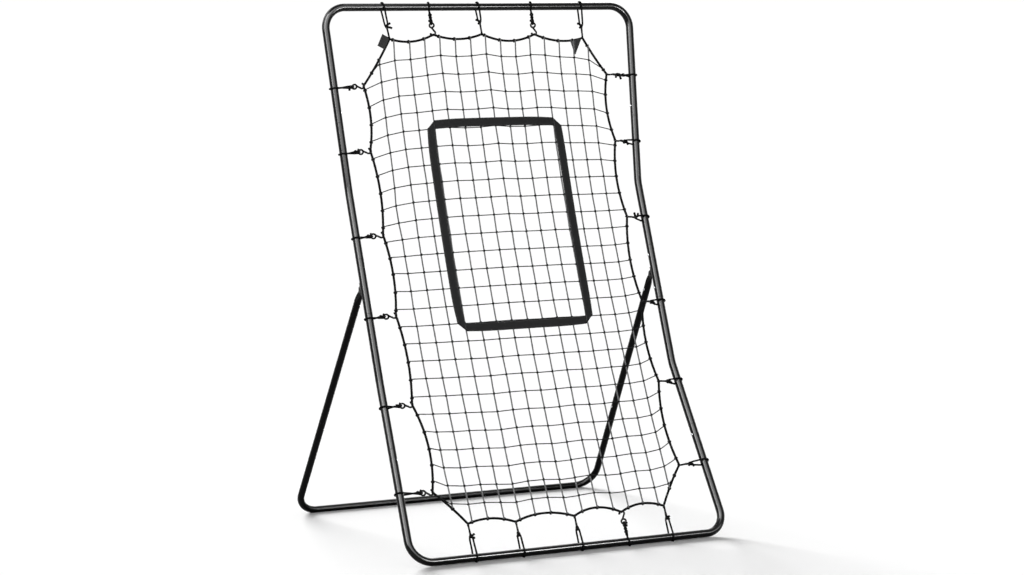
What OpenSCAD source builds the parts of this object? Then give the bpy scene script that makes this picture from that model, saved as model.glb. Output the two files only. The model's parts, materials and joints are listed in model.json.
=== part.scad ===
// Folding pitch back rebounder: a bent steel tube frame that leans back on a hinged rear stand,
// with a square-mesh net drawn out to the frame by elastic ties and wire hooks.
// X runs across, +Y to the rear, +Z up.  The origin is on the floor, in the middle of the footprint.

/* [Frame] */
// Width of the frame across its corners, before they are rounded
frame_w = 1000; // [960:5:1060]
// Outside diameter of the frame tube
frame_tube_d = 22; // [21:0.5:24]
// Wall of every tube
tube_wall = 1; // [0.8:0.1:1.2]
// Leg of the top and the bottom U tube, from its corner to its open end
u_leg = 330; // [310:5:350]
// Half of a side tube, from its shoulder to its bend
side_half = 196; // [186:2:206]
// Length of a middle tube
middle_len = 160; // [150:2:180]
// How far the net draws each side in between the corners
side_draw = 27.5; // [20:0.5:32]
// Bend radius of the corners
corner_r = 62; // [58:1:80]
// Bend radius in the middle of a side tube
knee_r = 150; // [120:5:180]
// Lean of the bottom stretch above the floor, in degrees
lean_bottom = 58.9; // [57:0.1:60]
// Lean of the middle stretch above the floor, in degrees
lean_middle = 67.6; // [66.5:0.1:68.5]
// Lean of the top stretch above the floor, in degrees
lean_top = 77.4; // [76:0.1:79]

/* [Joints] */
// Length of the necked end that slides into the next tube
neck_len = 45; // [41:1:48]
// Radial clearance between a neck and the tube round it
neck_gap = 0.05; // [0.03:0.01:0.1]
// Distance from a joint line to its snap button
button_set = 30; // [26:1:32]
// Diameter of a snap button
button_d = 6.4; // [5.6:0.2:7]
// How far a snap button stands out of the tube
button_proud = 2.5; // [2:0.1:3]
// Radial clearance of a snap button in its hole
button_gap = 0.06; // [0.04:0.01:0.1]
// Width of the spring strip that carries a snap button
clip_w = 8; // [6:0.5:9]
// Length of the spring strip from the button to its fold
clip_len = 26; // [22:1:30]
// Thickness of the spring strip
clip_t = 0.8; // [0.6:0.1:1]

/* [Stand] */
// Width of the stand across its corners, before they are rounded
stand_w = 1009; // [1000:1:1030]
// Outside diameter of the stand tube
stand_tube_d = 20; // [19.5:0.5:20.5]
// Distance on the floor between the front bar and the rear bar
stand_reach = 812; // [790:2:830]
// Leg of the rear U tube, from its corner to its open end
stand_u_leg = 341; // [320:1:360]
// Length of a hinge stub, from its pivot to its open end
stub_len = 88; // [84:1:100]
// Bend radius of the rear corners
stand_corner_r = 62; // [55:1:70]
// Distance of the pivot behind the middle tube's axis
pivot_offset = 23; // [22.6:0.1:25]
// Thickness of the flattened end of a hinge stub
blade_t = 4; // [3.5:0.1:4.5]
// Length of the flattened end beyond the pivot
blade_len = 14; // [13:0.5:16]
// Length over which the stub swells from the flat end to the round tube
blade_taper = 24; // [20:1:26]
// Diameter of the pivot rivet
rivet_d = 6; // [5:0.5:7]
// Radial running clearance of the pivot rivet
rivet_gap = 0.05; // [0.03:0.01:0.1]
// Thickness of the pivot bracket's steel
bracket_t = 1.6; // [1.4:0.1:1.8]
// Length of the bracket's saddle along the middle tube
saddle_len = 28; // [24:1:34]

/* [Net] */
// Half of the net's width at the side ties
net_half_w = 390; // [380:2:395]
// Meshes across the net
mesh_across = 13; // [10:1:13]
// Meshes up the net
mesh_up = 23; // [18:1:23]
// Diameter of the net cord
mesh_d = 2; // [1.6:0.1:2.4]
// Diameter of the edge rope
rope_d = 4.4; // [4:0.1:5]
// How far the edge rope sags between two ties of the top or the bottom
sag_level = 16; // [10:1:20]
// How far the edge rope sags between two ties of a side
sag_side = 12; // [8:1:16]
// Depth of the net's hollow at its middle
hollow_middle = 49; // [40:1:60]
// Depth of the net's hollow at its side ropes
hollow_side = 64; // [60:1:70]

/* [Target] */
// Outside width of the target strap
target_w = 435; // [400:5:460]
// Outside height of the target strap
target_h = 630; // [600:5:650]
// Height of the target's middle, measured up the frame from the front bar
target_mid = 959; // [940:1:980]
// Width of the webbing
webbing_w = 25.4; // [20:0.2:30]
// Thickness of the webbing
webbing_t = 1.2; // [1:0.1:1.6]

/* [Ties] */
// Diameter of the elastic cord
elastic_d = 3.5; // [3:0.1:4]
// Diameter of the hook wire
wire_d = 3; // [2.6:0.1:3.2]
// Distance between the centres of a hook's eye and its open end
hook_pitch = 22; // [20:1:26]
// Radius of a hook's eye along its wire
eye_r = 5.5; // [5:0.1:6]
// Radius of a hook's open end along its wire
bight_r = 6; // [5.8:0.1:6.4]
// Length of the cord's tails beyond their knot
tail_len = 12; // [9:1:15]

/* [Hidden] */
$fn = 48;
// An extra length that lets a cut run past the face that it opens
over = 1;
// A bend is this much thinner than the straight bars, which lap into it, so their faces cross cleanly
bend_seam = 0.02;
bend_lap = 0.1;

// Tube radii
frame_r = frame_tube_d / 2;
stand_r = stand_tube_d / 2;
frame_bore = frame_r - tube_wall;
stand_bore = stand_r - tube_wall;

// Elastic cord, and how it lifts the front bar: the loops under it are pressed flat on the floor
elastic_r = elastic_d / 2;
elastic_seat = 0.1;
elastic_flat = 0.5;
elastic_wrap = elastic_seat + elastic_d;
bar_z = frame_r + elastic_wrap - elastic_flat;

// Stations of the right side, from the floor up; the left side is their mirror image
corner_x = frame_w / 2 - frame_r;
waist_x = corner_x - side_draw;
front_y = -(stand_reach + stand_r - frame_r - elastic_wrap) / 2;
reach_len = u_leg + side_half;
reach_yz = sqrt(pow(reach_len, 2) - pow(side_draw, 2));
profile_len = 2 * reach_len + 2 * side_half + middle_len;
foot = [corner_x, front_y, bar_z];
knee_low = [waist_x, front_y, bar_z] + reach_yz * rise(lean_bottom);
knee_high = knee_low + (2 * side_half + middle_len) * rise(lean_middle);
head = [corner_x, knee_high.y, knee_high.z] + reach_yz * rise(lean_top);
middle = (knee_low + knee_high) / 2;
pivot = middle + pivot_offset * behind(lean_middle);
heel = [stand_w / 2 - stand_r, front_y + stand_reach, stand_r];

// Joints: where the shoulder is, which way the neck points, and the tube radius
top_joint = [toward(head, knee_high, u_leg), unit(head - knee_high), frame_r];
upper_joint = [toward(knee_high, knee_low, side_half), unit(knee_low - knee_high), frame_r];
lower_joint = [toward(knee_low, knee_high, side_half), unit(knee_high - knee_low), frame_r];
bottom_joint = [toward(foot, knee_low, u_leg), unit(foot - knee_low), frame_r];
stub_joint = [toward(pivot, heel, stub_len), unit(pivot - heel), stand_r];
rear_joint = [toward(heel, pivot, stand_u_leg), unit(heel - pivot), stand_r];
frame_joints = [top_joint, upper_joint, lower_joint, bottom_joint];
stand_joints = [stub_joint, rear_joint];

// Snap button: its flange bears on the neck's bore, and its spring strip folds under it
button_r = button_d / 2;
flange_r = button_r + 0.9;
flange_t = 1;
flange_gap = 0.15;
dome_r = 5;
shoulder_wall = 3;

// Hinge: how the ears and the saddle sit round the flattened stub
ear_gap = 0.4;
ear_t = 2;
ear_r = 9;
ear_face = blade_t / 2 + ear_gap + ear_t;
saddle_r = frame_r + bracket_t;
saddle_half_angle = 50;
rivet_r = rivet_d / 2;
rivet_head_r = 5.5;
rivet_head_t = 2;
stop_gap = 0.2;
stop_len = 8;

// Net surface: a shallow hollow behind the chord from the front bar to the top bar
chord = [0, head.y - foot.y, head.z - foot.z];
chord_up = unit(chord);
chord_back = [0, chord_up.z, -chord_up.y];

// Ties, measured up the frame's profile on the sides and across it on the bars
tie_left_s = [195, 450, 710, 940, 1180, 1375];
tie_right_s = [211, 466, 708, 967, 1199, 1400];
tie_top_x = [-295, -158, -4, 165, 323];
tie_bottom_x = [-300, -157, 24, 172, 310];
rope_top_inset = 87;
rope_top_s = profile_len - rope_top_inset;
rope_bottom_s = 92;
last_side = len(tie_left_s) - 1;
rope_r = rope_d / 2;
span_steps = 6;
sag_corner = 8;

// Corners of the edge rope in net places [across, up the profile], anticlockwise from the front
bottom_corners = [for (x = tie_bottom_x) [x, rope_bottom_s]];
right_corners = [for (s = tie_right_s) [net_half_w, s]];
top_corners = [for (x = tie_top_x) [x, rope_top_s]];
left_corners = [for (s = tie_left_s) [-net_half_w, s]];
lower_chain = concat([left_corners[0]], bottom_corners, [right_corners[0]]);
upper_chain = concat([left_corners[last_side]], top_corners, [right_corners[last_side]]);
left_chain = concat([bottom_corners[0]], left_corners, [top_corners[0]]);
right_chain = concat([bottom_corners[4]], right_corners, [top_corners[4]]);

// Net cord: the rows lie behind the columns
mesh_r = mesh_d / 2;
mesh_sides = 6;
mesh_layer = mesh_r + 0.05;
row_pitch = (rope_top_s - rope_bottom_s) / mesh_up;
column_pitch = 2 * net_half_w / mesh_across;

// Target strap: it lies on the front of the columns and is folded across its corners
strap_front = mesh_layer + mesh_r + 0.1 + webbing_t;
strap_fold = webbing_w - 3;
strap_inner_fold = 2;
strap_steps = 8;

// Hook: its open end lies across the rope, turned by this angle out of the net's plane
hook_tilt = 45;
hook_seat = 1.6;
bight_start = 200;
bight_turn = 270;
wire_r = wire_d / 2;
bend_gap = 0.9;
knot_r = 3.6;
tail_spread = 28;

// Corner tabs
tab_t = 1;
tab_gap = 0.4;
tab_step = 15;
tab_front = rope_r + tab_gap + tab_t;
tab_left_at = [-316, 1500];
tab_left_turn = -29;
tab_left_w = 24;
tab_left_h = 38;
tab_right_at = [295, 1487];
tab_right_w = 34;
tab_right_h = 48;
tab_right_rise = 8;

steel_black = [0.11, 0.11, 0.12];
steel_bright = [0.75, 0.76, 0.78];
cord_black = [0.07, 0.07, 0.08];
webbing_black = [0.13, 0.13, 0.14];

// ---- Vectors and frames ----

function unit(v) = v / norm(v);
function toward(a, b, distance) = a + distance * unit(b - a);
function rise(lean) = [0, cos(lean), sin(lean)];
function behind(lean) = [0, sin(lean), -cos(lean)];
function flip(p) = [-p.x, p.y, p.z];
function across(v, axis) = unit(v - (v * axis) * axis);

// Places children with their X and Z axes along x and z, and their origin at origin
module place(origin, x, z) {
    y = cross(z, x);
    multmatrix([
        [x.x, y.x, z.x, origin.x],
        [x.y, y.y, z.y, origin.y],
        [x.z, y.z, z.z, origin.z],
        [0, 0, 0, 1]
    ]) children();
}

module left() {
    mirror([1, 0, 0]) children();
}

// A round bar from a to b
module rod(a, b, r) {
    d = b - a;
    translate(a)
        rotate([0, acos(d.z / norm(d)), atan2(d.y, d.x)])
            cylinder(r = r, h = norm(d));
}

// Where a straight bar ends that laps into a bend
function lapped(cut) = cut == 0 ? 0 : cut - bend_lap;

// How far the bend at c starts before it
function setback(a, c, b, bend_r) = bend_r * tan(acos(unit(c - a) * unit(b - c)) / 2);

// The bend at c of a round bar that runs from a by c to b
module elbow(a, c, b, bend_r, r) {
    in = unit(c - a);
    out = unit(b - c);
    inside = across(out, in);
    centre = c - in * setback(a, c, b, bend_r) + inside * bend_r;
    place(centre, -inside, cross(-inside, in)) arc(acos(in * out), bend_r, r);
}

// A bend about the Z axis, from the X axis
module arc(angle, bend_r, r) {
    rotate_extrude(angle = angle)
        translate([bend_r, 0])
            circle(r = r - bend_seam);
}

// A round bar along points, bent at each inner one
module bent_bar(points, bend_r, r) {
    last = len(points) - 1;
    cuts = [for (i = [0 : last])
        i == 0 || i == last ? 0 : setback(points[i - 1], points[i], points[i + 1], bend_r)];
    for (i = [0 : last - 1]) {
        rod(toward(points[i], points[i + 1], lapped(cuts[i])),
            toward(points[i + 1], points[i], lapped(cuts[i + 1])), r);
    }
    for (i = [1 : last - 1]) {
        elbow(points[i - 1], points[i], points[i + 1], bend_r, r);
    }
}

// The same points with both ends moved out by extra, or in where it is negative
function stretched(points, extra) = let (last = len(points) - 1) [
    for (i = [0 : last])
        i == 0 ? toward(points[0], points[1], -extra) :
        i == last ? toward(points[last], points[last - 1], -extra) : points[i]
];

// ---- Joints ----

// Children stand on the tube's axis at the snap button, with +Z out of the tube's inner side
module at_button(joint) {
    inward = across([-1, 0, 0], joint[1]);
    place(joint[0] + button_set * joint[1], joint[1], inward) children();
}

module button_hole(joint) {
    at_button(joint) cylinder(r = button_r + button_gap, h = joint[2] + over);
}

// The necked end of a tube beyond its shoulder
module neck(joint) {
    rod(joint[0] - shoulder_wall / 2 * joint[1], joint[0] + neck_len * joint[1], neck_r(joint));
}

function neck_r(joint) = joint[2] - tube_wall - neck_gap;
function neck_bore(joint) = neck_r(joint) - tube_wall;

module neck_bore_cut(joint) {
    rod(joint[0] - (shoulder_wall + over) * joint[1],
        joint[0] + (neck_len + over) * joint[1], neck_bore(joint));
}

// A tube with a neck at each end
module necked_tube(points, joint_a, joint_b, bend_r, bore) {
    difference() {
        union() {
            bent_bar(points, bend_r, joint_a[2]);
            neck(joint_a);
            neck(joint_b);
        }
        bent_bar(stretched(points, -shoulder_wall), bend_r, bore);
        neck_bore_cut(joint_a);
        neck_bore_cut(joint_b);
        button_hole(joint_a);
        button_hole(joint_b);
    }
}

// Height of the underside of a snap button's flange above the tube's axis
function flange_base(joint) =
    sqrt(pow(neck_bore(joint), 2) - pow(flange_r, 2)) - flange_gap - flange_t;

module snap_button(joint) {
    top = joint[2] + button_proud;
    base = flange_base(joint);
    at_button(joint) {
        intersection() {
            translate([0, 0, base]) cylinder(r = button_r, h = top - base);
            translate([0, 0, top - dome_r]) sphere(r = dome_r);
        }
        translate([0, 0, base]) cylinder(r = button_r, h = joint[2] - base);
        translate([0, 0, base]) cylinder(r = flange_r, h = flange_t);
        translate([-clip_len, -clip_w / 2, base - clip_t])
            cube([clip_len + flange_r, clip_w, clip_t]);
    }
}

// The fold of the spring strip and its far arm, which bears on the opposite side of the neck
module clip_spring(joint) {
    high = flange_base(joint);
    low = -sqrt(pow(neck_bore(joint), 2) - pow(clip_w / 2, 2)) + flange_gap;
    fold_r = (high - low) / 2;
    at_button(joint) {
        translate([-clip_len - flange_gap, clip_w / 2, (high + low) / 2])
            rotate([90, 0, 0])
                linear_extrude(clip_w)
                    difference() {
                        circle(r = fold_r);
                        circle(r = fold_r - clip_t);
                        translate([0, -fold_r - over]) square(2 * (fold_r + over));
                    }
        translate([-clip_len - flange_gap, -clip_w / 2, low])
            cube([clip_len + flange_r, clip_w, clip_t]);
    }
}

// ---- Frame tubes ----

module top_u_tube() {
    u_tube([top_joint[0], head, flip(head), flip(top_joint[0])], corner_r, top_joint, frame_bore);
}

module bottom_u_tube() {
    u_tube([bottom_joint[0], foot, flip(foot), flip(bottom_joint[0])],
        corner_r, bottom_joint, frame_bore);
}

module u_tube(points, bend_r, joint, bore) {
    color(steel_black)
        difference() {
            bent_bar(points, bend_r, joint[2]);
            bent_bar(stretched(points, over), bend_r, bore);
            button_hole(joint);
            left() button_hole(joint);
        }
}

module upper_side_tube_right() {
    color(steel_black)
        necked_tube([top_joint[0], knee_high, upper_joint[0]],
            top_joint, upper_joint, knee_r, frame_bore);
}

module lower_side_tube_right() {
    color(steel_black)
        necked_tube([lower_joint[0], knee_low, bottom_joint[0]],
            lower_joint, bottom_joint, knee_r, frame_bore);
}

module middle_tube_right() {
    ends = [lower_joint[0], upper_joint[0]];
    bore_ends = stretched(ends, over);
    color(steel_black)
        difference() {
            rod(ends[0], ends[1], frame_r);
            rod(bore_ends[0], bore_ends[1], frame_bore);
            button_hole(upper_joint);
            button_hole(lower_joint);
        }
}

// ---- Hinge ----

// Children stand on the middle tube's axis, with +Y to the rear and +Z up the tube
module at_middle() {
    place(middle, [1, 0, 0], rise(lean_middle)) children();
}

module pivot_bracket_right() {
    color(steel_black)
        at_middle()
            difference() {
                union() {
                    saddle();
                    for (side = [-1, 1]) {
                        ear(side);
                    }
                }
                translate([-ear_face - over, pivot_offset, 0])
                    rotate([0, 90, 0])
                        cylinder(r = rivet_r + rivet_gap / 2, h = 2 * (ear_face + over));
            }
}

// A curved plate on the rear of the middle tube
module saddle() {
    translate([0, 0, -saddle_len / 2])
        rotate([0, 0, 90 - saddle_half_angle])
            rotate_extrude(angle = 2 * saddle_half_angle)
                translate([frame_r, 0])
                    square([bracket_t, saddle_len]);
}

// One ear, from the saddle to the pivot
module ear(side) {
    foot_y = sqrt(pow(frame_r, 2) - pow(ear_face - ear_t, 2)) + bracket_t / 2;
    translate([side * (ear_face - ear_t / 2) - ear_t / 2, 0, 0])
        rotate([90, 0, 90])
            linear_extrude(ear_t) {
                translate([pivot_offset, 0]) circle(r = ear_r);
                translate([foot_y, -ear_r]) square([pivot_offset - foot_y, 2 * ear_r]);
            }
}

module pivot_rivet_right() {
    color(steel_bright)
        at_middle()
            translate([0, pivot_offset, 0])
                rotate([0, 90, 0]) {
                    cylinder(r = rivet_r, h = 2 * ear_face, center = true);
                    for (side = [0, 1]) {
                        mirror([0, 0, side]) translate([0, 0, ear_face]) rivet_head();
                    }
                }
}

// A low dome
module rivet_head() {
    ball_r = (pow(rivet_head_r, 2) + pow(rivet_head_t, 2)) / (2 * rivet_head_t);
    intersection() {
        cylinder(r = rivet_head_r, h = rivet_head_t);
        translate([0, 0, rivet_head_t - ball_r]) sphere(r = ball_r);
    }
}

leg_down = unit([0, heel.y - pivot.y, heel.z - pivot.z]);
leg_way = unit(heel - pivot);
round_start = blade_len + blade_taper;

// A tube whose end is pressed flat and rounded about the pivot
module hinge_stub_right() {
    color(steel_black)
        difference() {
            union() {
                intersection() {
                    rod(pivot - 2 * stand_r * leg_way, stub_joint[0], stand_r);
                    place(pivot, [1, 0, 0], leg_down) {
                        flattening();
                    }
                    place(pivot, [1, 0, 0], leg_down) {
                        round_end();
                    }
                }
                stop_heel();
            }
            rod(pivot + (round_start + tube_wall) * leg_way, stub_joint[0] + over * leg_way, stand_bore);
            translate(pivot)
                rotate([0, 90, 0])
                    cylinder(r = rivet_r + rivet_gap, h = blade_t + 2 * over, center = true);
            button_hole(stub_joint);
        }
}

// The room that is left between the dies: flat at the pivot, then opening to the full round
module flattening() {
    flat = blade_t / 2;
    full = 2 * stand_r;
    open_len = blade_taper * (full - flat) / (stand_r - flat);
    rotate([90, 0, 0])
        linear_extrude(2 * full, center = true)
            polygon([[-flat, -full], [flat, -full], [flat, blade_len],
                [full, blade_len + open_len], [full, stub_len + full],
                [-full, stub_len + full], [-full, blade_len + open_len], [-flat, blade_len]]);
}

module round_end() {
    rotate([0, 90, 0]) cylinder(r = stand_r, h = 2 * stand_r, center = true);
    translate([-2 * stand_r, -2 * stand_r, 0]) cube([4 * stand_r, 4 * stand_r, 2 * stub_len]);
}

// The corner of the flattened end that meets the saddle when the stand is fully open
module stop_heel() {
    depth = pivot_offset - saddle_r - stop_gap;
    at_middle()
        translate([-blade_t / 2, pivot_offset - depth, 0])
            cube([blade_t, depth, stop_len]);
}

// ---- Stand tubes ----

module leg_tube_right() {
    color(steel_black)
        difference() {
            union() {
                rod(stub_joint[0], rear_joint[0], stand_r);
                neck(stub_joint);
                neck(rear_joint);
            }
            rod(stub_joint[0] + shoulder_wall * leg_way,
                rear_joint[0] - shoulder_wall * leg_way, stand_bore);
            neck_bore_cut(stub_joint);
            neck_bore_cut(rear_joint);
            button_hole(stub_joint);
            button_hole(rear_joint);
        }
}

module rear_u_tube() {
    u_tube([rear_joint[0], heel, flip(heel), flip(rear_joint[0])],
        stand_corner_r, rear_joint, stand_bore);
}

// ---- Springs of the snap buttons ----

module clip_springs(joints) {
    color(steel_bright)
        for (joint = joints) {
            clip_spring(joint);
            left() clip_spring(joint);
        }
}

module button(joint) {
    color(steel_bright) snap_button(joint);
}

// ---- Net ----

// A point of the net: across, up the profile, and forward of its surface
function net_point(x, s, forward = 0) =
    let (share = s / profile_len,
         hollow = hollow_middle + (hollow_side - hollow_middle) * pow(x / net_half_w, 2))
    [x, foot.y, foot.z] + share * chord
        + (4 * share * (1 - share) * hollow - forward) * chord_back;

// The edge rope's height at x along a chain of level corners; inward is +1 where the net lies above
function level_edge(chain, x, inward, i = 0) =
    i < len(chain) - 2 && x > chain[i + 1].x ? level_edge(chain, x, inward, i + 1) :
    let (t = (x - chain[i].x) / (chain[i + 1].x - chain[i].x),
         sag = i == 0 || i == len(chain) - 2 ? sag_corner : sag_level)
    chain[i].y + t * (chain[i + 1].y - chain[i].y) + inward * 4 * t * (1 - t) * sag;

// The edge rope's place across at height s along a chain of side corners
function side_edge(chain, s, inward, i = 0) =
    i < len(chain) - 2 && s > chain[i + 1].y ? side_edge(chain, s, inward, i + 1) :
    let (rise_s = chain[i + 1].y - chain[i].y,
         cut = i == 0 || i == len(chain) - 2,
         lift = i == 0 ? sag_corner : -sag_corner,
         slope = rise_s + 4 * lift,
         start = chain[i].y - s,
         t = cut ? (slope - sqrt(pow(slope, 2) + 16 * lift * start)) / (8 * lift)
                 : (s - chain[i].y) / rise_s)
    chain[i].x + t * (chain[i + 1].x - chain[i].x) + (cut ? 0 : inward * 4 * t * (1 - t) * sag_side);

// A tube of given sides round points, whose rings are turned to the net's surface
module sweep(points, r, sides, closed = false) {
    n = len(points);
    rings = [for (i = [0 : n - 1])
        let (before = points[closed ? (i + n - 1) % n : max(i - 1, 0)],
             after = points[closed ? (i + 1) % n : min(i + 1, n - 1)],
             way = unit(after - before),
             e1 = unit(cross(way, chord_back)),
             e2 = cross(way, e1))
        for (k = [0 : sides - 1])
            points[i] + r * (cos(360 * k / sides) * e1 + sin(360 * k / sides) * e2)];
    walls = [for (i = [0 : closed ? n - 1 : n - 2], k = [0 : sides - 1])
        let (a = i * sides,
             b = (i + 1) % n * sides,
             next = (k + 1) % sides)
        each [[a + k, b + k, b + next], [a + k, b + next, a + next]]];
    caps = closed ? [] : [for (k = [1 : sides - 2])
        each [[0, k, k + 1], [n * sides - sides, n * sides - sides + k + 1, n * sides - sides + k]]];
    polyhedron(rings, concat(walls, caps));
}

module net_mesh() {
    color(cord_black) {
        for (i = [1 : mesh_across - 1]) {
            column(-net_half_w + i * column_pitch);
        }
        for (j = [1 : mesh_up - 1]) {
            row(rope_bottom_s + j * row_pitch);
        }
    }
}

// A cord up the net at x
module column(x) {
    low = level_edge(lower_chain, x, 1);
    high = level_edge(upper_chain, x, -1);
    sweep([for (j = [0 : mesh_up]) net_point(x, low + (high - low) * j / mesh_up, mesh_layer)],
        mesh_r, mesh_sides);
}

// A cord across the net at height s
module row(s) {
    from = side_edge(left_chain, s, 1);
    to = side_edge(right_chain, s, -1);
    steps = ceil(mesh_across / 2);
    sweep([for (i = [0 : steps]) net_point(from + (to - from) * i / steps, s, -mesh_layer)],
        mesh_r, mesh_sides);
}

// The places of one span of the rope along x, or up the profile
function level_span(chain, i, inward) = [for (k = [0 : span_steps - 1])
    let (x = chain[i].x + (chain[i + 1].x - chain[i].x) * k / span_steps)
    net_point(x, level_edge(chain, x, inward))];
function side_span(chain, i, inward) = [for (k = [0 : span_steps - 1])
    let (s = chain[i].y + (chain[i + 1].y - chain[i].y) * k / span_steps)
    net_point(side_edge(chain, s, inward), s)];
function reversed(list) = [for (i = [len(list) - 1 : -1 : 0]) list[i]];

rope_points = concat(
    [for (i = [0 : len(lower_chain) - 2]) each level_span(lower_chain, i, 1)],
    [for (i = [1 : len(right_chain) - 3]) each side_span(right_chain, i, -1)],
    reversed(concat(
        [for (i = [1 : len(left_chain) - 3]) each side_span(left_chain, i, 1)],
        [for (i = [0 : len(upper_chain) - 2]) each level_span(upper_chain, i, -1)],
        [net_point(net_half_w, tie_right_s[last_side])]
    ))
);

module edge_rope() {
    color(cord_black) sweep(rope_points, rope_r, mesh_sides, closed = true);
}

// ---- Target strap ----

// One station of the strap: the outer and the inner edge, on the front and on the back
function strap_station(outer, inner) = [
    net_point(outer.x, outer.y, strap_front),
    net_point(inner.x, inner.y, strap_front),
    net_point(inner.x, inner.y, strap_front - webbing_t),
    net_point(outer.x, outer.y, strap_front - webbing_t)
];

// The corners of the strap's outline, two at each fold, anticlockwise from the lower left
function strap_outline(half_w, half_h, fold) = [for (quarter = [0 : 3])
    let (sx = quarter == 0 || quarter == 3 ? -1 : 1,
         sy = quarter < 2 ? -1 : 1,
         along_x = [sx * (half_w - fold), target_mid + sy * half_h],
         along_y = [sx * half_w, target_mid + sy * (half_h - fold)])
    each quarter % 2 == 0 ? [along_y, along_x] : [along_x, along_y]];

module target_strap() {
    outer = strap_outline(target_w / 2, target_h / 2, strap_fold);
    inner = strap_outline(target_w / 2 - webbing_w, target_h / 2 - webbing_w, strap_inner_fold);
    stations = [for (i = [0 : 7])
        let (next = (i + 1) % 8,
             steps = i % 2 == 0 ? 1 : strap_steps)
        for (k = [0 : steps - 1])
            strap_station(outer[i] + (outer[next] - outer[i]) * k / steps,
                inner[i] + (inner[next] - inner[i]) * k / steps)];
    n = len(stations);
    faces = [for (i = [0 : n - 1], k = [0 : 3])
        let (a = 4 * i,
             b = 4 * ((i + 1) % n),
             next = (k + 1) % 4)
        each [[a + k, b + next, b + k], [a + k, a + next, b + next]]];
    color(webbing_black) polyhedron([for (station = stations) each station], faces);
}

// ---- Corner tabs ----

module corner_tab_left() {
    half_w = tab_left_w / 2;
    half_h = tab_left_h / 2;
    tab(tab_left_at, tab_left_turn,
        [[-half_w, -half_h], [half_w, -half_h], [half_w, half_h], [-half_w, half_h]]);
}

module corner_tab_right() {
    half_w = tab_right_w / 2;
    half_h = tab_right_h / 2;
    tab(tab_right_at, 0, [[-half_w, half_h - tab_right_rise], [0, -half_h], [half_w, half_h]]);
}

// A small fabric tab on the front of the net, along its surface, at [across, up the profile]
module tab(at, turn, outline) {
    up = unit(net_point(at.x, at.y + tab_step) - net_point(at.x, at.y - tab_step));
    level = across(net_point(at.x + tab_step, at.y) - net_point(at.x - tab_step, at.y), up);
    color(webbing_black)
        place(net_point(at.x, at.y, tab_front), level, up)
            rotate([0, -turn, 0])
                rotate([90, 0, 0])
                    translate([0, 0, -tab_t])
                        linear_extrude(tab_t)
                            polygon(outline);
}

// ---- Ties ----

// A tie as the point of the tube's axis, the tube's way and the rope's point
function bar_ties(xs, s, bar) = [for (x = xs) [[x, bar.y, bar.z], [1, 0, 0], net_point(x, s)]];
function side_ties(heights, side) = [for (s = heights) let (
    from = s < reach_len ? foot : s < profile_len - reach_len ? knee_low : knee_high,
    to = s < reach_len ? knee_low : s < profile_len - reach_len ? knee_high : head,
    start = [side * from.x, from.y, from.z],
    way = unit([side * to.x, to.y, to.z] - start),
    rope = net_point(side * net_half_w, s))
    [start + ((rope - start) * way) * way, way, rope]];

// Children stand on the tube's axis, with +X to the rope and +Z along the tube
module at_tie(tie) {
    place(tie[0], unit(tie[2] - tie[0]), tie[1]) children();
}

function tie_reach(tie) = norm(tie[2] - tie[0]) - hook_seat;

// The elastic: a loop round the tube and through the hook's eye, with its knot and two tails
module tie_cord(tie) {
    big = frame_r + elastic_seat + elastic_r;
    small = wire_r + elastic_r + bend_gap;
    span = tie_reach(tie) - hook_pitch - eye_r;
    lean = asin((big - small) / span);
    at_tie(tie) {
        rotate([0, 0, 90 - lean]) arc(180 + 2 * lean, big, elastic_r);
        translate([span, 0, 0]) rotate([0, 0, lean - 90]) arc(180 - 2 * lean, small, elastic_r);
        for (side = [-1, 1]) {
            tube_end = [big * sin(lean), side * big * cos(lean), 0];
            eye_end = [span + small * sin(lean), side * small * cos(lean), 0];
            rod(toward(tube_end, eye_end, -bend_lap), toward(eye_end, tube_end, -bend_lap), elastic_r);
        }
        translate([span, -small, 0]) {
            sphere(r = knot_r);
            for (side = [-1, 1]) {
                rotate([90 + side * tail_spread, 0, 30]) cylinder(r = elastic_r, h = tail_len);
            }
        }
    }
}

// The hook: a closed eye, a shank and an open end that holds the rope
module tie_hook(tie) {
    at_tie(tie)
        translate([tie_reach(tie), 0, 0])
            rotate([90 - hook_tilt, 0, 0]) {
                translate([-hook_pitch, 0, 0])
                    rotate_extrude() translate([eye_r, 0]) circle(r = wire_r);
                rod([-hook_pitch + eye_r, 0, 0],
                    bight_r * [cos(bight_start), sin(bight_start), 0], wire_r);
                rotate([0, 0, bight_start])
                    rotate_extrude(angle = bight_turn) translate([bight_r, 0]) circle(r = wire_r);
            }
}

top_ties = bar_ties(tie_top_x, rope_top_s, head);
bottom_ties = bar_ties(tie_bottom_x, rope_bottom_s, foot);
left_ties = side_ties(tie_left_s, -1);
right_ties = side_ties(tie_right_s, 1);

module tie_cords(ties) {
    color(cord_black)
        for (tie = ties) {
            tie_cord(tie);
        }
}

module tie_hooks(ties) {
    color(steel_black)
        for (tie = ties) {
            tie_hook(tie);
        }
}

// The bottom ties are pressed flat where the front bar's weight holds them on the floor
module tie_cords_bottom() {
    difference() {
        tie_cords(bottom_ties);
        translate([-frame_w / 2, front_y - frame_r, -frame_r])
            cube([frame_w, 2 * frame_r, frame_r]);
    }
}

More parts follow.
